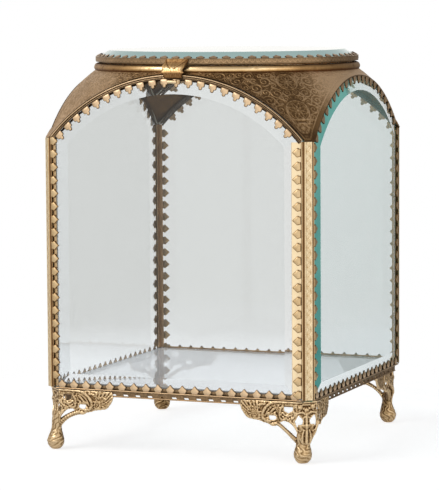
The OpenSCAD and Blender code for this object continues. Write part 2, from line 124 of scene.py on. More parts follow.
def over_bevel(inward: Array, gap: float = 0.16) -> Array:
    """Gives the Y just in front of the front pane's bevel, at a distance in from the pane's edge."""
    return -(GLASS_EDGE + np.maximum(inward, 0) * BEVEL_SLOPE + gap)


def read(items: bpy.types.bpy_prop_collection, name: str, width: int = 3, kind: type = np.float32) -> Array:
    """Reads one property of every item of a mesh.

    Args:
        items: the vertices, edges, loops or faces.
        name: the property's name.
        width: numbers for each item.
        kind: their type.

    Returns:
        An (n, width) array, or (n,) when the width is 1.
    """
    values = np.empty(len(items) * width, kind)
    items.foreach_get(name, values)
    return values.reshape(-1, width) if width > 1 else values


def show(name: str, data: bpy.types.ID) -> bpy.types.Object:
    """Puts data in the scene as an object.

    Args:
        name: the object's name.
        data: its mesh, lamp or camera.

    Returns:
        The object.
    """
    made = bpy.data.objects.new(name, data)
    bpy.context.scene.collection.objects.link(made)
    return made


# ---- finishes ----


class Wiring:
    """Small helper around one node tree."""

    def __init__(self, tree: bpy.types.NodeTree) -> None:
        """Empties the tree and keeps it."""
        self.tree = tree
        tree.nodes.clear()

    @classmethod
    def material(cls, name: str) -> tuple[bpy.types.Material, "Wiring"]:
        """Makes an empty material.

        Args:
            name: its name.

        Returns:
            The material and its wiring.
        """
        made = bpy.data.materials.new(name)
        made.use_nodes = True
        return made, cls(made.node_tree)

    def put(self, socket: bpy.types.NodeSocket, value: object) -> None:
        """Fills an input.

        Args:
            socket: the input.
            value: an output to join it to, or a plain value.
        """
        if isinstance(value, bpy.types.NodeSocket):
            self.tree.links.new(value, socket)
        else:
            socket.default_value = value

    def add(self, kind: str, *given: object, **named: object) -> bpy.types.Node:
        """Adds a node.

        Args:
            kind: the node's type name; "ShaderNode" may be left out.
            given: values or outputs for its inputs in order, with None for one left alone.
            named: its own properties, or values and outputs for inputs by name, with _ for a space.

        Returns:
            The new node.
        """
        node = self.tree.nodes.new(kind if "Node" in kind else f"ShaderNode{kind}")
        for key, value in named.items():
            if hasattr(node, key):
                setattr(node, key, value)
            else:
                self.put(node.inputs[key.replace("_", " ")], value)
        for socket, value in zip(node.inputs, given):
            if value is not None:
                self.put(socket, value)
        return node

    def pipe(self, kind: str, *given: object, **named: object) -> bpy.types.NodeSocket:
        """Adds a node as add() does and gives its first output."""
        return self.add(kind, *given, **named).outputs[0]

    def noise(self, scale: float, detail: float, vector: bpy.types.NodeSocket) -> bpy.types.NodeSocket:
        """Adds a noise pattern of that frequency for each metre."""
        return self.pipe("TexNoise", vector, Scale=scale, Detail=detail, Roughness=0.6)

    def math(self, operation: str, a: object, b: object, clamp: bool = False) -> bpy.types.NodeSocket:
        """Adds a math node, whose result may be held between 0 and 1."""
        return self.pipe("Math", a, b, operation=operation, use_clamp=clamp)

    def ramp(self, fac: bpy.types.NodeSocket, stops: list[tuple[float, Color]]) -> bpy.types.NodeSocket:
        """Adds a colour ramp.

        Args:
            fac: what drives it.
            stops: places from 0 to 1 with their colours.

        Returns:
            The colour's socket.
        """
        node = self.add("ValToRGB", fac)
        band = node.color_ramp.elements
        while len(band) < len(stops):
            band.new(0.5)
        for element, (at, color) in zip(band, stops):
            element.position = at
            element.color = (*color, 1)
        return node.outputs[0]

    def remap(self, fac: bpy.types.NodeSocket, low: float, high: float) -> bpy.types.NodeSocket:
        """Maps 0..1 to low..high."""
        return self.pipe("MapRange", fac, None, None, low, high)


@dataclass(frozen=True)
class Brass:
    """Old brass: dark in the hollows, rubbed bright on what stands proud."""

    name: str
    hollow: Color
    body: Color
    crest: Color
    dull: float = 0.55
    gloss: float = 0.28
    grain: float = 0.5
    mottle: float = 0.35
    broad: float = 90
    fine: float = 1400
    deep: float = 0.00004
    carved: bool = True

    def build(self) -> bpy.types.Material:
        """Makes the material.

        Returns:
            A metal whose colour follows the "tone" attribute and a noise.
        """
        material, w = Wiring.material(self.name)
        where = w.add("TexCoord").outputs["Object"]
        fine = w.noise(self.fine, 4, where)
        speckle = w.math("ADD", w.math("MULTIPLY", w.noise(self.broad, 3, where), 0.5), w.math("MULTIPLY", fine, 0.5))
        drift = w.math("MULTIPLY", w.math("SUBTRACT", speckle, 0.5), 2 * self.mottle)
        tone = w.add("Attribute", attribute_name="tone").outputs["Fac"] if self.carved else 0.5
        fac = w.math("ADD", tone, drift, True)
        color = w.ramp(fac, [(0.05, self.hollow), (0.5, self.body), (0.95, self.crest)])
        grain = w.pipe("Bump", Strength=self.grain, Distance=self.deep, Height=fine)
        metal = w.pipe("BsdfPrincipled", Metallic=1.0, Base_Color=color, Normal=grain,
                       Roughness=w.remap(fac, self.dull, self.gloss))
        w.add("OutputMaterial", metal)
        return material


@dataclass(frozen=True)
class Glass:
    """Clear old plate glass, with a faint film on its faces, a painted green glow inside and a painted reflection low
    down.
    """

    name: str
    tint: Color
    film: float = 0.015
    # deep and pale: colours of the painted green glow, deep low down and paler higher up
    deep: Color = (0.06, 0.05, 0.035)
    pale: Color = (0.16, 0.15, 0.12)
    # low_tint, low_to, high_from: painted reflection; below about 5 cm the glass takes low_tint, and its own tint again
    # from about 7 cm
    low_tint: Color = (0.97, 0.99, 1.0)
    low_to: float = 0.25
    high_from: float = 0.34
    ior: float = 1.5
    veil: float = 0.0
    dust: Color = (0.93, 0.95, 1.0)

    def build(self) -> bpy.types.Material:
        """Makes the material.

        Returns:
            A glass that lets light through for shadows, and glows green by an emission where a ray reflected inside it
            meets a back face: painted light for light trapped between its faces.
        """
        material, w = Wiring.material(self.name)
        where, path = w.add("TexCoord").outputs["Object"], w.add("LightPath").outputs
        height = w.add("SeparateXYZ", where).outputs["Z"]
        level = w.math("ADD", height, w.math("MULTIPLY", w.noise(22, 2, where), 0.008))
        # painted reflection: the tint turns to low_tint below about 5 cm
        tint = w.ramp(w.math("MULTIPLY", level, 5.0, True), [(self.low_to, self.low_tint), (self.high_from, self.tint)])
        glass = w.pipe("BsdfPrincipled", IOR=self.ior, Transmission_Weight=1.0, Base_Color=tint,
                       Roughness=w.remap(w.noise(35, 3, where), 0.0, self.film))
        if self.veil:
            glass = w.pipe("MixShader", self.veil, glass, w.pipe("BsdfDiffuse", (*self.dust, 1)))
        # painted glow: an emission, deep low down and paler higher up with noisy streaks, shown where a reflected ray
        # meets a back face
        streaks = w.math("ADD", w.math("MULTIPLY", height, 4.2), w.math("MULTIPLY", w.noise(60, 2, where), 0.9))
        green = w.ramp(w.math("SUBTRACT", streaks, 0.35, True), [(0.0, self.deep), (1.0, self.pale)])
        trapped = w.math("MULTIPLY", path["Is Reflection Ray"], w.add("NewGeometry").outputs["Backfacing"])
        body = w.pipe("MixShader", trapped, glass, w.pipe("Emission", green, 1.0))
        clear = w.pipe("BsdfTransparent", (*self.tint, 1))
        w.add("OutputMaterial", w.pipe("MixShader", path["Is Shadow Ray"], body, clear))
        return material


# colours of the painted teal glow of the right pane and its bevel
TEAL_GLOW = {"deep": (0.03, 0.2, 0.18), "pale": (0.15, 0.42, 0.37)}
# One glass, tinted apart for each pane and for each part of the front pane's bevel: painted light and shade. The front
# pane is greyed, the right pane and its bevel are lighter, the low front bevel is nearly white, its right side darker
# and its left side lighter.
PLATE = Glass("plate_glass", (0.93, 0.95, 0.95))
SHADED_FRONT_PLATE = Glass("grey_plate_glass", (0.775, 0.785, 0.775))
RIGHT_PLATE = Glass("clear_plate_glass", (0.96, 0.968, 0.968), **TEAL_GLOW)
LID_PLATE = Glass("lid_plate_glass", (0.93, 0.95, 0.95), deep=(0.24, 0.37, 0.36), pale=(0.32, 0.45, 0.43))
BEVEL = Glass("bevel_glass", (0.9, 0.91, 0.91))
RIGHT_BEVEL = Glass("right_bevel_glass", (0.95, 0.96, 0.96), **TEAL_GLOW)
LEFT_BEVEL = Glass("left_bevel_glass", (0.96, 0.985, 1.0), low_tint=(0.9, 0.945, 0.965))
SIDE_BEVEL = Glass("side_bevel_glass", (0.88, 0.865, 0.85), low_tint=(0.88, 0.865, 0.85))
LOW_BEVEL = Glass("low_bevel_glass", (0.985, 0.99, 1.0), low_tint=(0.985, 0.99, 1.0))
FLOOR_PLATE = Glass("floor_plate_glass", (0.97, 0.98, 0.99), deep=(0.16, 0.15, 0.14), pale=(0.3, 0.3, 0.29), veil=0.25)
EDGE = Glass("ground_edge_glass", (0.25, 0.26, 0.22), 0.12)
ENGRAVED = Brass("engraved_brass", (0.17, 0.085, 0.035), (0.60, 0.40, 0.19), (0.93, 0.76, 0.50))
TOOTHED = Brass("toothed_brass", (0.055, 0.035, 0.02), (0.50, 0.33, 0.18), (0.93, 0.69, 0.44))
EMBOSSED = Brass("embossed_brass", (0.10, 0.052, 0.02), (0.29, 0.172, 0.074), (0.74, 0.50, 0.28), dull=0.62, gloss=0.4)
CAST = Brass("cast_brass", (0.075, 0.033, 0.011), (0.44, 0.28, 0.13), (0.86, 0.64, 0.38), grain=1.0, mottle=0.75,
             fine=1150, deep=0.00016)
MOULDED = Brass("moulded_brass", (0.15, 0.07, 0.025), (0.58, 0.35, 0.145), (0.97, 0.73, 0.41))
DARK = Brass("dark_brass", (0.07, 0.045, 0.025), (0.28, 0.18, 0.10), (0.55, 0.40, 0.24), carved=False)


@cache
def coat(finish: Brass | Glass) -> bpy.types.Material:
    """Gives a finish's material, which is made on first use."""
    return finish.build()


# ---- meshes ----


class Skin:
    """Collects the points and faces of one piece and makes its mesh."""

    def __init__(self) -> None:
        """Starts empty."""
        self.points: list[Array] = []
        self.tones: list[Array] = []
        self.faces: list[tuple[Array, int]] = []
        self.count = 0

    def add(self, points: Array, tone: Values = 0.5) -> int:
        """Adds points.

        Args:
            points: an (n, 3) array in millimetres.
            tone: one tone for all, or one for each point.

        Returns:
            The first new point's index.
        """
        first = self.count
        points = np.asarray(points, float).reshape(-1, 3)
        self.points.append(points)
        self.tones.append(np.broadcast_to(np.asarray(tone, float), (len(points),)).copy())
        self.count += len(points)
        return first

    def face(self, faces: Array | list, metal: int = 0) -> None:
        """Adds faces of one size.

        Args:
            faces: an (m, k) array of point indices.
            metal: the material's index.
        """
        self.faces.append((np.atleast_2d(np.asarray(faces, int)), metal))

    def grid(self, points: Array, tone: Values = 0.5, metal: int = 0,
             loop_u: bool = False, loop_v: bool = False) -> int:
        """Adds a grid of quads.

        Args:
            points: an (a, b, 3) array.
            tone: one tone, or an (a, b) array.
            metal: the material's index.
            loop_u: whether the last row joins the first.
            loop_v: whether the last column joins the first.

        Returns:
            The first new point's index.
        """
        a, b = points.shape[:2]
        first = self.add(points.reshape(-1, 3), np.broadcast_to(tone, (a, b)).ravel())
        index = first + np.arange(a * b).reshape(a, b)
        if loop_u:
            index = np.vstack([index, index[:1]])
        if loop_v:
            index = np.hstack([index, index[:, :1]])
        self.face(np.stack([index[:-1, :-1], index[1:, :-1], index[1:, 1:], index[:-1, 1:]], -1).reshape(-1, 4), metal)
        return first

    def rod(self, rings: Array, tone: Values = 0.5, metal: int = 0) -> None:
        """Adds closed rings joined in a row, with a flat cap at both ends.

        Args:
            rings: an (a, b, 3) array, one ring in each row.
            tone: one tone, or an (a, b) array.
            metal: the material's index; the caps have index 0.
        """
        first = self.grid(rings, tone, metal, loop_v=True)
        around = rings.shape[1]
        for start in (first, first + (len(rings) - 1) * around):
            self.face(np.arange(start, start + around))

    def absorb(self, data: bpy.types.Mesh, shade: float) -> None:
        """Adds a finished mesh whose points are in millimetres.

        Args:
            data: the mesh, with a "tone" attribute.
            shade: what the tone is multiplied by.
        """
        first = self.add(read(data.vertices, "co"), read(data.attributes["tone"].data, "value", 1) * shade)
        loops = read(data.loops, "vertex_index", 1, np.int32)
        starts, sizes = (read(data.polygons, name, 1, np.int32) for name in ("loop_start", "loop_total"))
        for size in np.unique(sizes):
            self.face(first + loops[starts[sizes == size][:, None] + np.arange(size)])

    def plate(self, points: Array, faces: Array, back: Array | Triple,
              tone: Values = 0.5) -> None:
        """Adds a sheet with a front, a back and walls round every edge.

        Args:
            points: (n, 3) points of the front.
            faces: (m, k) faces of the front.
            back: one offset to the back, or one for each point.
            tone: tone of the front; the back is dark, tarnish and painted shade.
        """
        front = self.add(points, tone)
        # the back's dark tone is tarnish and painted shade
        rear = self.add(points + back, 0.1)
        self.face(faces + front)
        self.face(faces[:, ::-1] + rear)
        edges = np.stack([faces, np.roll(faces, -1, 1)], -1).reshape(-1, 2)
        key = edges[:, 0].astype(np.int64) * len(points) + edges[:, 1]
        other = edges[:, 1].astype(np.int64) * len(points) + edges[:, 0]
        rim = edges[~np.isin(key, other)]
        self.face(np.column_stack([rim[:, 1] + front, rim[:, 0] + front, rim[:, 0] + rear, rim[:, 1] + rear]))

    def sheet(self, rows: Array, back: Array | Triple, tone: Values = 0.5) -> None:
        """Adds a plate over the whole of an (a, b, 3) grid of points."""
        self.plate(rows.reshape(-1, 3), cells(*rows.shape[:2]).reshape(-1, 4), back, tone)

    def turn(self, turns: int) -> "Skin":
        """Makes a copy turned by quarter turns.

        Args:
            turns: how many quarter turns.

        Returns:
            The turned skin.
        """
        copy = Skin()
        copy.points = [quarter(p, turns) for p in self.points]
        copy.tones, copy.faces, copy.count = list(self.tones), list(self.faces), self.count
        return copy

    def mesh(self, name: str, finishes: list[Brass | Glass], weld: float = 0.002,
             sharp: float = 35.0) -> bpy.types.Object:
        """Makes the piece.

        Args:
            name: the object's name.
            finishes: its finishes, in the order of the faces' indices.
            weld: points nearer than this become one.
            sharp: edges bent by more than this stay sharp.

        Returns:
            The object, at the origin, in metres.
        """
        data = bpy.data.meshes.new(name)
        faces = [face for some, _ in self.faces for face in some.tolist()]
        data.from_pydata(np.concatenate(self.points) * MM, [], faces)
        metals = np.concatenate([np.full(len(some), metal) for some, metal in self.faces])
        data.polygons.foreach_set("material_index", metals.astype(np.int32))
        tone = data.attributes.new("tone", "FLOAT", "POINT")
        tone.data.foreach_set("value", np.concatenate(self.tones).astype(np.float32))
        work = bmesh.new()
        work.from_mesh(data)
        bmesh.ops.remove_doubles(work, verts=work.verts, dist=weld * MM)
        bmesh.ops.recalc_face_normals(work, faces=work.faces)
        work.to_mesh(data)
        work.free()
        data.polygons.foreach_set("use_smooth", np.ones(len(data.polygons), bool))
        data.set_sharp_from_angle(angle=math.radians(sharp))
        for finish in finishes:
            data.materials.append(coat(finish))
        return show(name, data)


def place(piece: bpy.types.Object, body: str, slot: str, *nodes: str) -> None:
    """Puts a finished piece on its body in place of CAD nodes.

    Args:
        piece: the finished object.
        body: the body that it rides on.
        slot: not used.
        nodes: the CAD nodes it stands for.
    """
    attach(piece, body)
    if nodes:
        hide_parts(*nodes)
    LOG.info("%s: %d faces", piece.name, len(piece.data.polygons))


# ---- glass ----


@dataclass
class Panes:
    """Four arched panes with a wide ground bevel, and the clear floor."""

    face: float = 70.1
    back: float = 65.4
    bevel: float = 8.6
    arris: float = 0.25
    floor_half: float = 65.1
    floor_t: float = 4.0
    arc_steps: int = 64

    def ring(self, inset: float, y: float) -> Array:
        """Gives the pane's outline, moved inwards.

        Args:
            inset: how far inside the pane's own edge.
            y: its depth from the box's middle.

        Returns:
            An (n, 3) array, anticlockwise from the lower left corner.
        """
        w, r, low = GLASS_W - inset, GLASS_R - inset, GLASS_Z + inset
        spring = math.degrees(math.asin(w / r))
        arc = np.radians(np.linspace(spring, -spring, self.arc_steps + 1))
        head = np.stack([r * np.sin(arc), ARC_Z + r * np.cos(arc)], -1)
        flat = np.vstack([[[-w, low], [w, low]], head])
        return np.stack([flat[:, 0], np.full(len(flat), -y), flat[:, 1]], -1)

    def pane(self) -> Skin:
        """Makes the front pane.

        Returns:
            Its skin: flat middle, bevel in four parts, narrow ground edge and back.
        """
        skin = Skin()
        a = self.arris
        rings = np.stack([self.ring(inset, y) for inset, y in (
            (self.bevel, self.face), (a, GLASS_EDGE + a * 0.2), (0, GLASS_EDGE - a), (0, self.back + a),
            (a, self.back))])
        skin.add(rings)
        index = np.arange(rings[..., 0].size).reshape(rings.shape[:2])
        around = np.hstack([index, index[:, :1]])
        for k, (near, far) in enumerate(zip(around, around[1:])):
            quads = np.stack([near[:-1], far[:-1], far[1:], near[1:]], -1)
            low, side, head, left = quads[:1], quads[1:2], quads[2:-1], quads[-1:]
            for part, metal in [(quads, 1)] if k else [(low, 3), (side, 4), (head, 2), (left, 5)]:
                skin.face(part, metal)
        skin.face(index[0])
        skin.face(index[-1])
        return skin

    def floor(self) -> Skin:
        """Makes the clear floor of the box.

        Returns:
            Its skin.
        """
        skin = Skin()
        h, a = self.floor_half, self.arris
        low, high = GLASS_Z, GLASS_Z + self.floor_t
        skin.rod(np.array([[(-s, -s, z), (s, -s, z), (s, s, z), (-s, s, z)] for s, z in
                           ((h - a, low), (h, low + a), (h, high - a), (h - a, high))], float), metal=1)
        return skin

    def build(self) -> None:
        """Makes all panes and the floor, and puts them on the box."""
        front = self.pane()
        for turns, face in enumerate(FACES):
            # painted light and shade: each pane, and each part of the front pane's bevel, has its own tint
            plate = {"front": SHADED_FRONT_PLATE, "right": RIGHT_PLATE}.get(face, PLATE)
            bevel = RIGHT_BEVEL if face == "right" else BEVEL
            sides = [LOW_BEVEL, SIDE_BEVEL, LEFT_BEVEL] if face == "front" else [bevel] * 3
            piece = front.turn(turns).mesh(f"{face}_pane", [plate, EDGE, bevel] + sides, sharp=2)
            place(piece, "box", "bevelled_glass", f"{face}_glass")
        place(self.floor().mesh("floor_pane", [FLOOR_PLATE, EDGE], sharp=2), "box", "bevelled_glass", "bottom_glass")


@dataclass
class LidGlass:
    """Round lid glass: a flat top, a wide bevel and a ground edge."""

    radius: float = 65.5
    low: float = 191.85
    top: float = 197.25
    edge_z: float = 194.05
    flat_r: float = 59.5
    steps: int = 160

    def build(self) -> None:
        """Makes the glass and puts it on the lid."""
        skin = Skin()
        turn = circle(self.steps)
        profile = ((self.flat_r, self.top), (self.radius - 0.2, self.edge_z), (self.radius, self.edge_z - 0.25),
                   (self.radius, self.low + 0.3), (self.radius - 0.3, self.low))
        rows = lathe(turn, *np.array(profile).T).transpose(1, 0, 2)
        for k, metal in enumerate((0, 1, 1, 1)):
            skin.grid(rows[k:k + 2], metal=metal, loop_v=True)
        for ring in (rows[0], rows[-1]):
            skin.face(skin.add(ring) + np.arange(self.steps))
        place(skin.mesh("lid_pane", [LID_PLATE, EDGE], sharp=12), "lid", "bevelled_glass", "lid_glass")


# ---- stamped teeth ----


class Form(Enum):
    """The shapes of tooth: half widths across and heights along, from the root to beside the tip."""

    HOUSE = ((0.82, 0.0), (0.86, 0.22), (1.0, 0.36), (0.99, 0.46), (0.52, 0.72), (0.1, 0.98))
    POINT = ((0.6, 0.0), (0.74, 0.14), (1.0, 0.36), (0.97, 0.47), (0.5, 0.7), (0.12, 0.97))
    STAR = ((0.8, 0.0), (0.97, 0.1), (1.0, 0.46), (0.84, 0.62), (0.42, 0.66), (0.42, 0.86), (0.22, 0.98))


@dataclass
class ToothCutter:
    """Sets stamped, domed teeth along a strip with Geometry Nodes."""

    width: float = 4.4
    height: float = 4.2
    dome: float = 0.3
    sway: float = 0.03
    seed: int = 11
    middle: float = 0.42
    # rings: scale of the outline, height and tone; the tone is dark at the outline, painted shade round each tooth, and
    # rises towards the peak
    rings: Table = (
        (1.0, -1.4, 0.6), (1.0, -1.25, 0.0), (1.0, 0.0, 0.03), (0.9, 0.38, 0.3), (0.78, 0.8, 0.8))
    peak_tone: float = 0.82
    templates: dict[Form, bpy.types.Object] = field(default_factory=dict)
    tree: bpy.types.NodeTree | None = None
    inputs: dict[str, str] = field(default_factory=dict)

    def template(self, form: Form) -> bpy.types.Object:
        """Makes one tooth in unit sizes, or gives the one made before.

        Args:
            form: which tooth.

        Returns:
            An object whose X, Y and Z are scaled to half the width, the height and the dome.
        """
        if form in self.templates:
            return self.templates[form]
        right = np.array(form.value)
        edge = np.vstack([right, [[0, 1]], right[::-1] * [-1, 1]])
        n = len(edge)
        middle = np.array([0.0, self.middle])
        points = [np.column_stack([middle + (edge - middle) * scale, np.full(n, z)]) for scale, z, _ in self.rings]
        points.append(np.array([[*middle, 1.0]]))
        tones = [np.full(n, tone) for *_, tone in self.rings] + [np.array([self.peak_tone])]
        pairs, top = [(i, (i + 1) % n) for i in range(n)], (len(self.rings) - 1) * n
        faces = [(k + i, k + j, k + n + j, k + n + i) for k in range(0, top, n) for i, j in pairs]
        faces += [(top + i, top + j, top + n) for i, j in pairs]
        faces.append(tuple(range(n))[::-1])
        data = bpy.data.meshes.new(f"tooth_{form.name.lower()}")
        data.from_pydata(np.concatenate(points).tolist(), [], faces)
        shade = data.attributes.new("tone", "FLOAT", "POINT")
        shade.data.foreach_set("value", np.concatenate(tones).astype(np.float32))
        self.templates[form] = show(data.name, data)
        return self.templates[form]

    def make_tree(self) -> None:
        """Builds the node tree once: instances on points, turned by two attributes, then realized."""
        self.tree = bpy.data.node_groups.new("tooth_row", "GeometryNodeTree")
        face = self.tree.interface
        face.new_socket("Geometry", in_out="OUTPUT", socket_type="NodeSocketGeometry")
        for name, kind in (("Roots", "Geometry"), ("Tooth", "Object"), ("Tooth Width", "Float"),
                           ("Tooth Height", "Float"), ("Dome", "Float"), ("Sway", "Float"), ("Seed", "Int"),
                           ("Metal", "Material")):
            self.inputs[name] = face.new_socket(name, in_out="INPUT", socket_type=f"NodeSocket{kind}").identifier
        w = Wiring(self.tree)
        given = w.add("NodeGroupInput").outputs
        tooth = w.add("GeometryNodeObjectInfo", Object=given["Tooth"]).outputs["Geometry"]
        outward, reach = (w.pipe("GeometryNodeInputNamedAttribute", data_type="FLOAT_VECTOR", Name=name)
                          for name in ("face", "reach"))
        stand = w.pipe("FunctionNodeAxesToRotation", primary_axis="Z", secondary_axis="Y", Primary_Axis=outward,
                       Secondary_Axis=reach)
        tilt = w.pipe("FunctionNodeRandomValue", data_type="FLOAT_VECTOR", Min=w.math("MULTIPLY", given["Sway"], -1.0),
                      Max=given["Sway"], Seed=given["Seed"])
        turn = w.pipe("FunctionNodeRotateRotation", stand, w.pipe("FunctionNodeEulerToRotation", tilt),
                      rotation_space="LOCAL")
        size = w.pipe("CombineXYZ", w.math("MULTIPLY", given["Tooth Width"], 0.5), given["Tooth Height"], given["Dome"])
        row = w.pipe("GeometryNodeInstanceOnPoints", Points=given["Roots"], Instance=tooth, Rotation=turn, Scale=size)
        real = w.pipe("GeometryNodeRealizeInstances", row)
        w.add("NodeGroupOutput", w.pipe("GeometryNodeSetMaterial", Geometry=real, Material=given["Metal"]))

    def cut(self, skin: Skin, form: Form, roots: Array, faces: Array | Triple, reaches: Array | Triple,
            height: float | None = None, width: float | None = None, dome: float | None = None,
            shade: float = 1.0) -> None:
        """Adds a row of teeth to a piece.

        Args:
            skin: the piece's skin.
            form: which tooth.
            roots: (n, 3) middle of each tooth's root.
            faces: (n, 3) or one outward direction.
            reaches: (n, 3) or one direction from root to tip.
            height: the tooth's length, instead of the cutter's.
            width: its width, instead of the cutter's.
            dome: how far it stands out, instead of the cutter's.
            shade: what the teeth's tone is multiplied by.
        """
        if self.tree is None:
            self.make_tree()
        data = bpy.data.meshes.new("roots")
        data.from_pydata(roots.tolist(), [], [])
        for name, value in (("face", faces), ("reach", reaches)):
            full = np.broadcast_to(value, roots.shape).astype(np.float32)
            data.attributes.new(name, "FLOAT_VECTOR", "POINT").data.foreach_set("vector", full.ravel())
        row = show("roots", data)
        modifier = row.modifiers.new("teeth", "NODES")
        modifier.node_group = self.tree
        self.seed += 1
        for name, value in (("Tooth", self.template(form)), ("Tooth Width", width or self.width),
                            ("Tooth Height", height or self.height), ("Dome", dome or self.dome), ("Sway", self.sway),
                            ("Seed", self.seed), ("Metal", coat(TOOTHED))):
            modifier[self.inputs[name]] = value
        graph = bpy.context.evaluated_depsgraph_get()
        plain = bpy.data.meshes.new_from_object(row.evaluated_get(graph), preserve_all_data_layers=True,
                                                depsgraph=graph)
        row.modifiers.remove(modifier)
        skin.absorb(plain, shade)
        bpy.data.objects.remove(row)
        bpy.data.meshes.remove(plain)

    def clear(self) -> None:
        """Removes the template teeth."""
        for template in self.templates.values():
            bpy.data.objects.remove(template)
        self.templates.clear()


CUTTER = ToothCutter()


def bump(distance: Array, half_width: float) -> Array:
    """Gives a round ridge's height, 1 at its middle and 0 at its sides."""
    return np.clip(1 - (distance / half_width) ** 2, 0, 1) ** 0.5


def groove(distance: Array, half_width: float) -> Array:
    """Gives a soft dip, 1 at its middle and 0 at its sides."""
    return np.where(np.abs(distance) < half_width, 0.5 + 0.5 * np.cos(np.pi * distance / half_width), 0.0)


# ---- toothed strips ----


@dataclass(frozen=True)
class PostPlan:
    """What differs from post to post, for its front row of teeth and its right one.

    The rows are moved up by a share of a tooth's pitch. The ledges behind them have a tone, painted light and shade
    that differs from post to post and face to face, and a reach in from the corner. The right row may stand nearer the
    corner.
    """

    shifts: Point
    ledges: Point
    widths: Point
    inset: float = 0.0


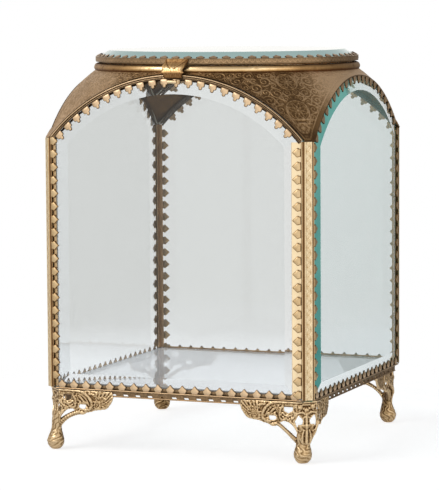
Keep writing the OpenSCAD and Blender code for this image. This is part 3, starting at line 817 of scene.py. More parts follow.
@dataclass
class CornerPost:
    """Folded corner strip: engraved band between beads and grooves, with teeth on both faces."""

    bottom: float = 31.5
    top: float = 155.15
    flange: float = 65.3
    fold: float = 66.6
    row: float = 0.36
    across: int = 56
    groove_at: float = 0.9
    bead_at: float = 2.1
    band_half: float = 1.25
    leaf: float = 2.3
    tooth_depth: float = 69.6
    tooth_lean: float = 6.0
    tooth_shift: float = 0.5
    off_square: float = 0.4
    # the ledges' tones are painted light and shade: bright on the front right post's front face and darker elsewhere
    plans: tuple[PostPlan, ...] = (
        PostPlan((-0.22, 0.12), (1.0, 0.06), (5.1, 2.4)), PostPlan((0.3, 0.1), (0.1, 0.3), (1.4, 1.1)),
        PostPlan((-0.2, 0.2), (0.3, 0.3), (1.1, 1.1)), PostPlan((-0.24, -0.66), (0.3, 0.72), (1.1, 3.2), 1.2))

    def run(self, s: Array) -> tuple[Array, Array]:
        """Follows the strip's section from one row of teeth to the other.

        Args:
            s: distances along the section.

        Returns:
            The points and the outward directions, as (n, 2) arrays of X and Y.
        """
        flat = self.fold - self.flange
        slope = (HALF - self.fold) * math.sqrt(2)
        knots = np.cumsum([0, flat, slope, flat])
        corners = np.array([[self.flange, -HALF], [self.fold, -HALF], [HALF, -self.fold], [HALF, -self.flange]])
        line = np.column_stack([np.interp(s, knots, corners[:, k]) for k in (0, 1)])
        bends = [flat - 0.5, flat + 0.5, flat + slope - 0.5, flat + slope + 0.5]
        turn = np.radians(np.interp(s, bends, [-90, -45, -45, 0]))
        return line, np.column_stack([np.cos(turn), np.sin(turn)])

    def relief(self, s: Array, z: Array, length: float) -> tuple[Array, Array]:
        """Works out the engraving.

        Args:
            s: distances along the section, (a, b).
            z: heights, (a, b).
            length: the section's whole length.

        Returns:
            Height over the sheet and tone, (a, b).
        """
        middle = length / 2
        side = np.abs(s - middle)
        g = np.clip(1.5 * groove(side - (middle - self.groove_at), 1.0), 0, 1)
        b = bump(side - (middle - self.bead_at), 0.4)
        edge = groove(side - middle, 0.35)
        rope = 0.5 + 0.5 * np.sin(z * math.tau / 1.15 + s * 2.0)
        k = np.round(z / self.leaf)
        lean = np.where(k % 2 == 0, 0.8, -0.6)
        dz, ds = z - k * self.leaf, s - middle
        u = (dz * np.cos(lean) + ds * np.sin(lean)) / 1.25
        v = (ds * np.cos(lean) - dz * np.sin(lean)) / 0.62
        d = np.sqrt(u * u + v * v)
        inside = side < self.band_half
        line = np.where(inside, groove(d - 1.1, 0.34), 0)
        vein = np.where(inside & (d < 0.85), groove(v, 0.3), 0)
        dots = np.where(inside, groove(np.hypot(dz - self.leaf / 2, np.abs(ds) - 0.72), 0.42), 0)
        height = -0.46 * g + (0.16 + 0.05 * rope) * b + 0.06 * inside - 0.12 * line - 0.09 * vein + 0.1 * dots
        tone = (0.66 - 0.66 * g + 0.26 * b * (0.4 + 0.6 * rope) + 0.3 * inside - 0.5 * line - 0.42 * vein + 0.2 * dots
                + 0.2 * edge)
        return height, np.clip(tone, 0, 1)

    def build_one(self, plan: PostPlan) -> Skin:
        """Makes a post at the front right corner.

        Args:
            plan: where its teeth and ledges lie.

        Returns:
            Its skin.
        """
        skin = Skin()
        length = 2 * (self.fold - self.flange) + (HALF - self.fold) * math.sqrt(2)
        s = np.linspace(0, length, self.across)
        z = np.linspace(self.bottom, self.top, int((self.top - self.bottom) / self.row))
        line, out = self.run(s)
        height, tone = self.relief(*np.meshgrid(s, z), length)
        back, near = HALF - SHEET, self.fold - 0.2
        inner = np.array([[back, -self.flange], [back, -near], [near, -back], [self.flange, -back]])
        plan_view = np.hstack([line + out * height[..., None], np.broadcast_to(inner, (len(z), 4, 2))])
        heights = np.broadcast_to(z[:, None, None], (*plan_view.shape[:2], 1))
        skin.rod(np.concatenate([plan_view, heights], -1), np.hstack([tone, np.full((len(z), 4), 0.14)]))
        count = int((self.top - self.bottom - CUTTER.width) / PITCH) + 1
        start = (self.bottom + self.top - (count - 1) * PITCH) / 2
        lean = math.radians(self.tooth_lean)
        c, s = math.cos(lean), math.sin(lean)
        for side, (shift, shade, width) in enumerate(zip(plan.shifts, plan.ledges, plan.widths)):
            z = start + (np.arange(-1, count + 1) + shift) * PITCH
            z = z[(z > self.bottom + 1.7) & (z < self.top - 1.4)]
            aside = plan.inset * side
            roots = np.column_stack([np.full(len(z), self.flange - self.tooth_shift + aside),
                                     np.full(len(z), -self.tooth_depth), z])
            x = np.array([66.3, 64.6, 64.5, 65.35 - width, 65.15 - width])
            ledge = np.array([np.column_stack([x + aside, over_bevel(GLASS_W - x), np.full(5, end)])
                              for end in (self.bottom + 0.5, self.top - 0.3)])
            parts = [roots, ledge, np.array(LEDGE_BACK), np.array([s, -c, 0]), np.array([-c, -s, 0])]
            if side:
                parts = [part[..., [1, 0, 2]] * [-1, -1, 1] for part in parts]
            roots, ledge, behind, face, reach = parts
            CUTTER.cut(skin, Form.HOUSE, roots, face, reach, shade=0.8)
            # painted shade on the ledge: black at the tooth roots, the plan's level after them, dark again at its far
            # edge
            skin.sheet(ledge, behind, np.tile([0.0, 0.0, 0.85 * shade, shade, 0.2], 2))
        return skin

    def build(self) -> None:
        """Makes the four posts."""
        for turns, (corner, plan) in enumerate(zip(CORNERS, self.plans)):
            post = self.build_one(plan).turn(turns).mesh(f"{corner}_post", [ENGRAVED])
            if corner == "front_left":
                post.data.transform(Matrix.Translation((-self.off_square * MM, 0, 0)))
            place(post, "box", "engraved_brass", f"corner_post_{corner}")


@dataclass
class BottomRail:
    """Toothed band over a pierced strip, with the shelf that carries the glass."""

    band_z: float = 30.9
    band_top: float = 31.5
    straight: float = 64.5
    wall: float = 0.5
    strip_face: float = 69.0
    strip_t: float = 0.3
    strip_half: float = 61.9
    strip_low: float = 27.9
    border: float = 0.65
    slot_w: float = 2.4
    lip: float = 0.3
    shelf_z: float = 29.3
    shelf_t: float = 0.5
    shelf_in: float = 62.0
    teeth: int = 20
    tooth_depth: float = 69.75
    tooth_w: float = 4.9
    slot_shift: float = 1.6
    ledge_half: float = 61.2
    keeper_half: float = 60.5
    keeper_y: Point = (64.75, 64.95)
    keeper_z: Point = (34.05, 34.9)

    def band(self, skin: Skin) -> None:
        """Adds the band under the teeth, folded round to the mitre at both ends, and the fold behind it.

        Args:
            skin: the rail's skin.
        """
        m, x = (HALF + self.straight) / 2, self.straight
        face = np.array([[-m, -m], [-x, -HALF], [x, -HALF], [m, -m]])
        inward, m, back = self.wall * math.tan(math.radians(22.5)), m - self.wall * 0.6, self.wall - HALF
        back = np.array([[-m, -m], [inward - x, back], [x - inward, back], [m, -m]])
        rows = [(face, self.band_z, 0.15), (face * [1, 1.0035], self.band_z + 0.28, 0.72), (face, self.band_top, 0.25),
                (back, self.band_top, 0.1), (back, self.band_z, 0.1)]
        points = np.array([np.column_stack([f, np.full(4, z)]) for f, z, _ in rows]).transpose(1, 0, 2)
        skin.rod(points, np.array([tone for *_, tone in rows]))
        near, far, low, high = self.strip_t - self.strip_face, 0.05 - HALF, self.band_z, self.band_z + 0.3
        skin.rod(np.array([[(x, near, low), (x, far, low), (x, far, high), (x, near, high)]
                           for x in (-self.strip_half, self.strip_half)]), 0.2)

    def strip(self, skin: Skin) -> None:
        """Adds the pierced strip with its slanted slots and its lower lip.

        Args:
            skin: the rail's skin.
        """
        low, high = self.strip_low + self.border, self.band_z - self.border - 0.1
        centres = (np.arange(self.teeth - 1) - (self.teeth - 2) / 2) * PITCH + self.slot_shift - PITCH / 2
        centres = centres[np.abs(centres) < self.strip_half - 3]
        lean, half = self.slot_w / 3, self.slot_w / 2
        ends = np.array([-self.strip_half, self.strip_half])
        top_x = np.sort(np.hstack([centres - half - lean / 2, centres + half - lean / 2]))
        top_x, low_x = (np.hstack([ends[:1], x, ends[1:]]) for x in (top_x, top_x + lean))
        levels = [(low_x, self.strip_low, 0.1), (low_x, low, 0.27), (top_x, high, 0.3), (top_x, self.band_z + 0.1, 0.2)]
        n = len(top_x)
        points = [np.column_stack([x, np.full(n, -self.strip_face), np.full(n, z)]) for x, z, _ in levels]
        keep = np.ones((len(levels) - 1, n - 1), bool)
        keep[1, 1::2] = False
        skin.plate(np.concatenate(points), cells(len(levels), n)[keep], (0, self.strip_t, 0),
                   np.repeat([t for *_, t in levels], n))
        turn = circle(8)
        lip = np.column_stack([-self.strip_face - 0.05 - self.lip * np.cos(turn),
                               self.strip_low + 0.2 + self.lip * np.sin(turn)])
        # painted light: the lip is lighter on its upper half
        skin.rod(np.array([np.column_stack([np.full(8, x), lip]) for x in ends]),
                 0.3 + 0.4 * np.clip(np.sin(turn), 0, 1))

    def shelf(self, skin: Skin) -> None:
        """Adds the shelf, mitred at both ends.

        Args:
            skin: the rail's skin.
        """
        y, x, near = self.strip_face - self.strip_t / 2, self.strip_half, self.shelf_in
        m = (y + x) / 2
        plan = np.array([[-m, -m], [-x, -y], [x, -y], [m, -m], [near, -near], [-near, -near]])
        levels = (self.shelf_z, self.shelf_z + self.shelf_t)
        skin.rod(np.array([np.column_stack([plan, np.full(6, z)]) for z in levels]), 0.3)

    def ledge(self, skin: Skin) -> None:
        """Adds the ledge behind the teeth, against the bevel, painted dark at the tooth roots as shade.

        Args:
            skin: the rail's skin.
        """
        z = np.array([31.3, 31.6, 31.8, 33.1, 33.4])
        rows = np.array([np.column_stack([np.full(5, x), over_bevel(z - GLASS_Z), z])
                         for x in (-self.ledge_half, self.ledge_half)])
        # painted shade: nearly black at the tooth roots, lighter higher up, darker again at the top
        skin.sheet(rows, LEDGE_BACK, np.tile([0.05, 0.1, 0.36, 0.44, 0.2], 2))

    def keeper(self, skin: Skin) -> None:
        """Adds the brown strip inside that holds the glass floor down."""
        (near, far), (low, high) = self.keeper_y, self.keeper_z
        skin.rod(np.array([[(x, -near, low), (x, -near, high), (x, -far, high), (x, -far, low)]
                           for x in (-self.keeper_half, self.keeper_half)]), np.array([0.2, 0.42, 0.4, 0.2]))

    def build(self) -> None:
        """Makes the four rails."""
        x = (np.arange(self.teeth) - (self.teeth - 1) / 2) * PITCH
        roots = np.column_stack([x, np.full(len(x), -self.tooth_depth), np.full(len(x), self.band_top - 0.2)])
        for turns, face in enumerate(FACES):
            skin = Skin()
            self.band(skin)
            self.strip(skin)
            self.shelf(skin)
            CUTTER.cut(skin, Form.POINT, roots, (0, -1, 0), (0, 0, 1), width=self.tooth_w)
            self.ledge(skin)
            if face == "rear":
                self.keeper(skin)
            place(skin.turn(turns).mesh(f"{face}_rail", [TOOTHED]), "box", "toothed_brass", f"bottom_rail_{face}")


@dataclass
class ArchStrip:
    """Bead, double groove and star teeth over one arch."""

    end: float = 49.6
    steps: int = 240
    band_r: float = 85.75
    bead_at: float = 86.2
    bead_r: float = 0.34
    tooth_step: float = 4.37
    tooth_first: float = 0.9
    tooth_depth: float = 69.9
    tooth_w: float = 4.2

    def build_one(self, banded: bool) -> Skin:
        """Makes the arch, in the front's place.

        Args:
            banded: True for the front, which has a band and a bead over its teeth.

        Returns:
            Its skin.
        """
        skin = Skin()
        r = np.linspace(TEETH_R, 84.75, 8)
        if banded:
            r = np.hstack([np.linspace(TEETH_R, 85.72, 14), np.linspace(85.76, 86.64, 12)])
        bead = bump(r - self.bead_at, self.bead_r) * self.bead_r
        dips = groove(r - 84.95, 0.26) + groove(r - 85.62, 0.26)
        ridge = groove(r - 85.28, 0.2)
        height = np.where(r > self.band_r, bead, -0.16 * dips + 0.08 * ridge)
        tone = np.where(r > self.band_r, 0.12 + 0.7 * (bead / self.bead_r) ** 2, 0.2 - 0.2 * dips + 0.34 * ridge)
        section_r = np.hstack([r, [r[-1] - 0.1, TEETH_R]])
        section_y = np.hstack([-HALF - height, [SHEET - HALF, SHEET - HALF]])
        tones = np.hstack([np.clip(tone, 0, 1), [0.05, 0.05]])
        a = np.radians(np.linspace(-self.end, self.end, self.steps))
        nicks = 1 - 0.25 * (0.5 + 0.5 * np.sin(a * 86 * math.tau / 1.3))[:, None]
        skin.rod(self.sweep(a, section_r, section_y), tones * np.where(section_r > 85.9, nicks, 1))
        angle = np.arange(-12, 13) * self.tooth_step + self.tooth_first
        angle = np.radians(angle[np.abs(angle) < self.end - 1.1])
        out = np.column_stack([np.sin(angle), np.zeros(len(angle)), np.cos(angle)])
        # the side arches' teeth are darker: painted shade
        CUTTER.cut(skin, Form.STAR, out * (TEETH_R + 0.1) + [0, -self.tooth_depth, ARC_Z], (0, -1, 0), -out,
                   width=self.tooth_w, shade=1.0 if banded else 0.78)
        # painted shade: a nearly black ring behind the teeth, for the dark gaps between their roots
        ledge_r = np.array([84.6, 84.2, 83.5])
        skin.sheet(self.sweep(a, ledge_r, over_bevel(GLASS_R - ledge_r, 0.2)), LEDGE_BACK, 0.02)
        return skin

    def sweep(self, a: Array, r: Array, y: Array) -> Array:
        """Sweeps a section of radii and depths over the arch, one row for each angle."""
        y = np.broadcast_to(y, (len(a), len(r)))
        return np.stack([np.outer(np.sin(a), r), y, ARC_Z + np.outer(np.cos(a), r)], -1)

    def build(self) -> None:
        """Makes the four arches."""
        front, side = self.build_one(True), self.build_one(False)
        for turns, face in enumerate(FACES):
            arch = side if turns else front
            place(arch.turn(turns).mesh(f"{face}_arch", [TOOTHED]), "box", "toothed_brass", f"arch_strip_{face}")


# ---- relief and casting ----


def smooth_line(points: Array | list[Point] | Line, steps: int = 8) -> Array:
    """Runs a smooth line through points.

    Args:
        points: the points to pass, in a plane or in space.
        steps: pieces for each span.

    Returns:
        The finer line, one point in each row.
    """
    p = np.array(points, float)
    if len(p) < 3:
        return p
    q = np.vstack([2 * p[0] - p[1], p, 2 * p[-1] - p[-2]])
    t = np.linspace(0, 1, steps, endpoint=False)[:, None]
    runs = []
    for a, b, c, d in zip(q, q[1:], q[2:], q[3:]):
        run = 2 * b + (c - a) * t + (2 * a - 5 * b + 4 * c - d) * t ** 2
        runs.append(0.5 * (run + (3 * b - a - 3 * c + d) * t ** 3))
    return np.vstack(runs + [p[-1:]])


def line_distance(grid: Array, line: Array) -> tuple[Array, Array]:
    """Measures how far each grid point is from a line.

    Args:
        grid: an (..., 2) array.
        line: the line's (n, 2) points.

    Returns:
        The distance, and the share of the line where it is nearest.
    """
    best = np.full(grid.shape[:-1], 1e9)
    along = np.zeros(grid.shape[:-1])
    last = len(line) - 1
    for k in range(last):
        a, d = line[k], line[k + 1] - line[k]
        t = np.clip(((grid - a) @ d) / max(d @ d, 1e-12), 0, 1)
        far = np.linalg.norm(grid - a - t[..., None] * d, axis=-1)
        near = far < best
        best = np.where(near, far, best)
        along = np.where(near, (k + t) / last, along)
    return best, along


def inside_by(grid: Array, shape: Array) -> Array:
    """Measures how far inside a closed outline each grid point is.

    Args:
        grid: an (..., 2) array.
        shape: the outline's (n, 2) corners.

    Returns:
        The distance to the outline, negative outside.
    """
    closed = np.vstack([shape, shape[:1]])
    far, _ = line_distance(grid, closed)
    x, y = grid[..., 0], grid[..., 1]
    odd = np.zeros(x.shape, bool)
    for (x0, y0), (x1, y1) in zip(closed[:-1], closed[1:]):
        crosses = (y0 > y) != (y1 > y)
        if y1 != y0:
            odd ^= crosses & (x < (x1 - x0) * (y - y0) / (y1 - y0) + x0)
    return np.where(odd, far, -far)


@dataclass
class Relief:
    """A field of raised work over a flat grid."""

    grid: Array
    height: Array = field(init=False)

    def __post_init__(self) -> None:
        """Starts flat."""
        self.height = np.zeros(self.grid.shape[:-1])

    def region(self, line: Array, reach: float) -> tuple[slice, slice]:
        """Finds the part of the grid near a line.

        Args:
            line: the line's points.
            reach: how far from the line counts as near.

        Returns:
            The part's rows and columns.
        """
        low, high = line.min(0) - reach, line.max(0) + reach
        u, v = self.grid[0, :, 0], self.grid[:, 0, 1]
        cols, rows = np.where((u > low[0]) & (u < high[0]))[0], np.where((v > low[1]) & (v < high[1]))[0]
        if not len(cols) or not len(rows):
            return slice(0, 0), slice(0, 0)
        return slice(rows[0], rows[-1] + 1), slice(cols[0], cols[-1] + 1)

    def ridge(self, points: list[Point] | Array, width: float, height: float, taper: float = 1.0,
              smooth: bool = True) -> None:
        """Raises a round ridge along a line.

        Args:
            points: the line.
            width: half of the ridge's width.
            height: its height.
            taper: share of the width left at the line's end.
            smooth: whether the line runs smoothly through the points.
        """
        line = smooth_line(points) if smooth else np.array(points, float)
        part = self.region(line, width)
        piece = self.grid[part]
        if piece.size == 0:
            return
        far, along = line_distance(piece, line)
        local = width * (1 + (taper - 1) * along)
        self.height[part] = np.maximum(self.height[part], height * np.clip(1 - (far / local) ** 2, 0, 1) ** 0.6)

    def bead(self, at: Point, radius: float, height: float) -> None:
        """Raises a round bead."""
        self.ridge([at, (at[0] + 1e-4, at[1])], radius, height, smooth=False)

    def cut(self, points: list[Point] | Array, width: float, depth: float) -> None:
        """Sinks a soft line.

        Args:
            points: the line.
            width: half of the line's width.
            depth: how deep it goes.
        """
        line = smooth_line(points)
        part = self.region(line, width)
        piece = self.grid[part]
        if piece.size:
            self.height[part] -= depth * groove(line_distance(piece, line)[0], width)


def cavity_tone(data: bpy.types.Mesh, rounds: int, reach: float) -> Array:
    """Finds what stands proud and what lies in a hollow.

    Args:
        data: the mesh, in metres.
        rounds: how many times neighbours are averaged.
        reach: height over its surroundings, in millimetres, that counts as fully proud.

    Returns:
        A tone for each point: 0 in hollows, 1 on crests.
    """
    points, normals = read(data.vertices, "co"), read(data.vertices, "normal")
    edges = read(data.edges, "vertices", 2, np.int32)
    ends, others = edges.T.ravel(), edges[:, ::-1].T.ravel()
    n = len(points)
    share = np.maximum(np.bincount(ends, minlength=n), 1)
    soft = points.astype(float)
    for _ in range(rounds):
        soft = np.column_stack([np.bincount(ends, soft[others, k], n) for k in range(3)]) / share[:, None]
    proud = ((points - soft) * normals).sum(1) / (reach * MM)
    return np.clip(0.5 + 0.5 * proud, 0, 1)


def all_round(turn: Array, a: Array, b: Array) -> Array:
    """Gives directions turned from one side towards another, one for each angle."""
    return np.cos(turn)[:, None] * a[..., None, :] + np.sin(turn)[:, None] * b[..., None, :]


# Raised work of a foot's wing, over distance from the corner and height: lines with half width and height, and
# beads with radius and height
WING_LINES = (
    (((0, 30.3), (8, 30.35), (14.4, 30.2), (17.6, 29.7), (19.8, 28.6), (21.7, 26.6), (22.9, 24.4), (22.8, 22.4),
      (21.3, 21.1), (19.3, 20.7)), 0.85, 0.62),
    (((0, 28.9), (7, 29), (14, 29), (17, 28.4), (18.9, 27.2), (20.4, 25.4), (21.0, 23.8)), 0.42, 0.4),
    (((24.3, 21.1), (26.8, 21.4), (28.5, 21.6), (30, 21.8), (31.2, 22.6), (32.4, 24), (33.6, 26), (34.2, 27.8),
      (34.1, 29.4)), 0.4, 0.34),
    (((16.4, 27.2), (17.6, 26.2), (18.9, 24.8), (20.2, 24.3)), 0.6, 0.48),
    (((15.2, 26.1), (16.6, 24.9), (18.2, 24.1)), 0.5, 0.42),
    (((12.9, 28.2), (13.7, 26.4), (14.2, 24.4), (13.9, 22.6), (12.7, 21.7), (11.4, 22.1)), 0.62, 0.52),
    (((12.4, 24.8), (11.2, 23.9), (9.6, 23.6), (8.3, 24.3)), 0.55, 0.45),
    (((12.6, 23.2), (11.3, 22.4), (9.6, 21.8), (8.2, 21)), 0.5, 0.42),
    (((7, 26.2), (6.4, 24.6), (6.9, 23.2), (8, 22.4)), 0.6, 0.5),
    (((0.9, 24.4), (1.9, 25.2), (3.6, 25.3), (5.2, 24.8), (6, 23.9)), 0.55, 0.5),
    (((0, 24.4), (0, 20), (0.1, 14), (0, 9)), 0.75, 0.7),
    (((7.4, 20), (5.9, 17.4), (4.8, 14.6), (3.9, 11)), 0.55, 0.5),
    (((1.5, 16.6), (2.2, 14), (2.2, 11)), 0.5, 0.45))
WING_BEADS = (((17.5, 19.1), 1.25, 0.62), ((19.8, 20), 0.8, 0.5), ((15.9, 19.6), 0.75, 0.45), ((15, 27.3), 0.45, 0.62),
              ((3.3, 28), 1.45, 0.66), ((5.9, 28), 0.6, 0.42), ((0, 26), 0.5, 0.65))
LEAF_TIPS = ((34.0, 29.8), (34.1, 27.7), (33.4, 25.6), (32, 23.7), (30.2, 22.5), (28, 22), (32.2, 30.3), (29.9, 30.3),
             (27.6, 30.2), (25.7, 29.4))


@dataclass
class CastFoot:
    """Openwork foot: pierced wings with scrolls, struts, and a leg that ends in a paw."""

    face: float = 70.1
    fold: float = 62.5
    low: float = 9.3
    top: float = 30.75
    wing: float = 35.1
    sink: float = 0.35
    sheet: float = 0.62
    step: float = 0.3
    voxel: float = 0.25
    limit: float = 70.44
    bends: tuple[float, ...] = (-2.0, 0.6, 0.0, 1.4)
    offsets: Line = ((0.0, 0.0), (-1.5, -0.3), (0.0, 0.0), (-0.38, 0.0))
    struts: tuple[float, ...] = (0.92, 1.0, 1.0, 1.32)
    short_wing: Line = ((0.0, 0.0), (5.0, 5.0), (10.5, 17.5), (22.7, 34.7), (24.0, 36.5))
    short_strut: float = 0.28
    outline: Line = (
        (33.9, 30.75), (34.6, 29.3), (34.7, 27.6), (34.1, 25.8), (32.8, 23.7), (31.5, 22.1), (30, 21.3), (28.5, 21.1),
        (26.8, 20.9), (24.6, 20.5), (22.5, 19.7), (20.4, 19.4), (19.1, 18.5), (17.8, 18), (16.3, 18.3), (15.1, 19.3),
        (14, 20.2), (12, 21), (9.8, 20.5), (8.1, 19.2), (6.5, 17.4), (5.2, 15.4), (4.0, 13.2), (3.0, 11.2), (2.2, 9.5))
    holes: tuple[Line, ...] = (
        ((11.9, 28.4), (7.6, 28.2), (7.5, 26.4), (9.7, 25), (12, 26.2)),
        ((19.9, 23.3), (16.2, 23.3), (16.1, 22), (17.4, 21.3), (19.3, 21.5)),
        ((4.2, 23.8), (1.8, 21.6), (2.6, 17.4), (3.4, 16.6), (4.5, 17.2), (6.4, 21.0)))
    leg_rows: tuple[tuple[float, ...], ...] = (
        (0.02, 94, 89.8, 2.4), (0.8, 94.8, 89, 3.2), (2.2, 95.7, 88.1, 4), (4.2, 96.1, 87.7, 4.3), (6.3, 95.3, 88.2, 4),
        (8, 94.4, 88.6, 3.55), (10, 93.7, 89.1, 3.4), (12, 93.8, 89.8, 3.65), (14, 94, 90.6, 4.05),
        (17, 94.1, 91.8, 4.5), (19.4, 93.7, 92.6, 4.4))
    ankle: float = 19.0
    squareness: float = 0.86

    def surface(self, s: Array, z: Array, lift: Values) -> Array:
        """Wraps the foot's sheet round the corner.

        Args:
            s: distance from the corner, towards the front when positive.
            z: height.
            lift: distance outwards from the face.

        Returns:
            Points, (..., 3).
        """
        half = (self.face - self.fold) / math.sqrt(2)
        middle = (self.face + self.fold) / 2
        on = np.clip(s, -half, half) / math.sqrt(2)
        x = middle - on - np.maximum(s - half, 0)
        y = -middle - on + np.maximum(-s - half, 0)
        turn = np.radians(np.interp(s, [-half - 1, 1 - half, half - 1, half + 1], [0, -45, -45, -90]))
        return np.stack([x + np.cos(turn) * lift, y + np.sin(turn) * lift, z + 0 * s], -1)

    def chase(self, relief: Relief, count: int, depth: float, seed: int) -> None:
        """Roughens the field with short chased strokes.

        Args:
            relief: the foot's field.
            count: how many strokes.
            depth: how deep or high they are.
            seed: chooses their places.
        """
        rng = np.random.default_rng(seed)
        spots = np.column_stack([rng.uniform(0.5, 34.5, count), rng.uniform(17, 30.5, count)])
        for spot, turn in zip(spots, rng.uniform(0, 3.2, count)):
            away = np.array([math.cos(turn), math.sin(turn)]) * 0.62
            bow = np.array([-math.sin(turn), math.cos(turn)]) * 0.25
            stroke = [spot - away, spot + bow, spot + away]
            work = relief.cut if turn < 2.0 else relief.ridge
            work(stroke, 0.4, depth)

    def ornament(self, relief: Relief) -> None:
        """Draws the raised work of one half, mirrored by the grid's own distance.

        Args:
            relief: the foot's field.
        """
        self.chase(relief, 330, 0.4, 23)
        for line, width, height in WING_LINES:
            relief.ridge(line, width, height)
        for x, z in LEAF_TIPS:
            root_x, root_z = 23.9 + 0.06 * (x - 24), 22.2 + 0.12 * (z - 22)
            bow = ((root_x + x) / 2 + 0.5, (root_z + z) / 2 - 0.8)
            relief.ridge([(x, z), bow, (root_x, root_z)], 0.72, 0.52, taper=0.35)
            for share in (0.3, 0.6, 0.85):
                relief.bead((root_x + share * (x - root_x) + 0.2, root_z + share * (z - root_z) - 0.2), 0.5, 0.62)
        for shape in self.holes:
            relief.ridge((*shape, shape[0]), 0.62, 0.36, smooth=False)
        beads = list(WING_BEADS)
        for k in range(5):
            a = math.tau * k / 5 + 0.4
            beads.append(((15 + 0.95 * math.cos(a), 27.3 + 0.8 * math.sin(a)), 0.5, 0.5))
        for k in range(8):
            a = math.tau * k / 8
            beads.append(((0.9 * math.cos(a), 26 + 0.9 * math.sin(a)), 0.42, 0.5))
        beads += [((6.9 - 0.38 * k, 20.9 - 1.15 * k), 0.42, 0.6) for k in range(9)]
        beads += [((7.9 + 0.85 * k, 20.4 + 0.35 * math.sin(k)), 0.36, 0.45) for k in range(7)]
        for at, radius, height in beads:
            relief.bead(at, radius, height)
        self.chase(relief, 70, 0.17, 24)

    def skin(self, bend: float, thick: float, short: bool) -> Skin:
        """Makes the rough casting of the front right foot.

        Args:
            bend: how far the paw was bent outwards, along X and Y alike.
            thick: radius of its struts.
            short: whether its right wing is the short one.

        Returns:
            Its skin: overlapping closed parts.
        """
        skin = Skin()
        s = np.arange(-self.wing, self.wing + self.step / 2, self.step)
        z = np.arange(self.low, self.top + 0.05, self.step)
        grid = np.stack(np.meshgrid(s, z), -1)
        spread = grid.copy()
        if short:
            near, drawn = np.array(self.short_wing).T
            spread[..., 0] = np.where(s < 0, -np.interp(-s, near, drawn), s)
        folded = np.abs(spread)
        half = np.array(self.outline)
        depth = inside_by(spread, np.vstack([half, half[::-1] * [-1, 1]]))
        for shape in self.holes:
            depth = np.minimum(depth, -inside_by(folded, np.array(shape)))
        positive = np.arange(0, self.wing + self.step / 2, self.step)
        relief = Relief(np.stack(np.meshgrid(positive, z), -1))
        self.ornament(relief)
        column = np.rint(folded[0, :, 0] / self.step).astype(int)
        raised = relief.height[:, np.clip(column, 0, len(positive) - 1)]
        raised = raised + 0.08 * np.random.default_rng(5).standard_normal(raised.shape)
        rounding = 0.3 * (1 - np.clip(depth / 0.7, 0, 1)) ** 2
        points = self.surface(grid[..., 0], grid[..., 1], np.minimum(raised - self.sink - rounding, 0.32))
        back = self.surface(grid[..., 0], grid[..., 1], -self.sink - self.sheet)
        keep = depth > -0.05
        solid = keep[:-1, :-1] & keep[:-1, 1:] & keep[1:, 1:] & keep[1:, :-1]
        skin.plate(points.reshape(-1, 3), cells(*keep.shape)[solid], (back - points).reshape(-1, 3))
        self.leg(skin, bend)
        for side in (1, -1):
            self.strut(skin, bend, side, thick, short and side < 0)
        return skin

    def leg(self, skin: Skin, bend: float) -> None:
        """Adds the leg and its paw, as rings down the diagonal.

        Args:
            skin: the foot's skin.
            bend: how far the paw was bent outwards.
        """
        rows = np.array(self.leg_rows)
        z = np.linspace(rows[-1, 0], rows[0, 0], 110)
        outer, inner, wide = (np.interp(z, rows[:, 0], rows[:, k]) for k in (1, 2, 3))
        for _ in range(6):
            outer[1:-1], inner[1:-1], wide[1:-1] = ((v[:-2] + 2 * v[1:-1] + v[2:]) / 4 for v in (outer, inner, wide))
        shift = bend * math.sqrt(2) * np.clip((self.ankle - z) / (14 if bend < 0 else 9.5), 0, 1)
        turn = circle(96)
        u, v = (np.sign(way) * np.abs(way) ** self.squareness for way in (np.cos(turn), np.sin(turn)))
        zz, tt = np.meshgrid(z, turn, indexing="ij")
        side = np.where(tt > math.pi, tt - math.tau, tt)
        rings = np.sqrt((side - 0.5) ** 2 * 9 + (zz - 8.2) ** 2)
        warp = 0.55 * np.sin(zz * 0.95 + 2.3 * np.abs(side)) + 0.35 * np.sin(zz * 2.3 - 3.1 * np.abs(side) + 0.8)
        shell = 0.22 * np.abs(np.sin((rings + warp) * math.pi / 1.9)) * np.clip((10.5 - zz) / 2, 0, 1)
        shell *= np.clip(zz / 1.5, 0, 1)
        leaf = 0.26 * np.abs(np.sin((np.abs(side) * 3.2 - zz * 0.75 + warp))) * np.clip((zz - 8.5) / 2, 0, 1)
        swell = shell + leaf + 0.35 * groove(side, 0.22) * np.clip((zz - 9) / 2, 0, 1) - 0.12
        middle, deep = (outer + inner) / 2 + shift, (outer - inner) / 2
        d = middle[:, None] + (deep[:, None] + swell) * u
        w = (wide[:, None] + swell) * v
        root = math.sqrt(0.5)
        skin.rod(np.stack([(d + w) * root, (-d + w) * root, zz], -1))

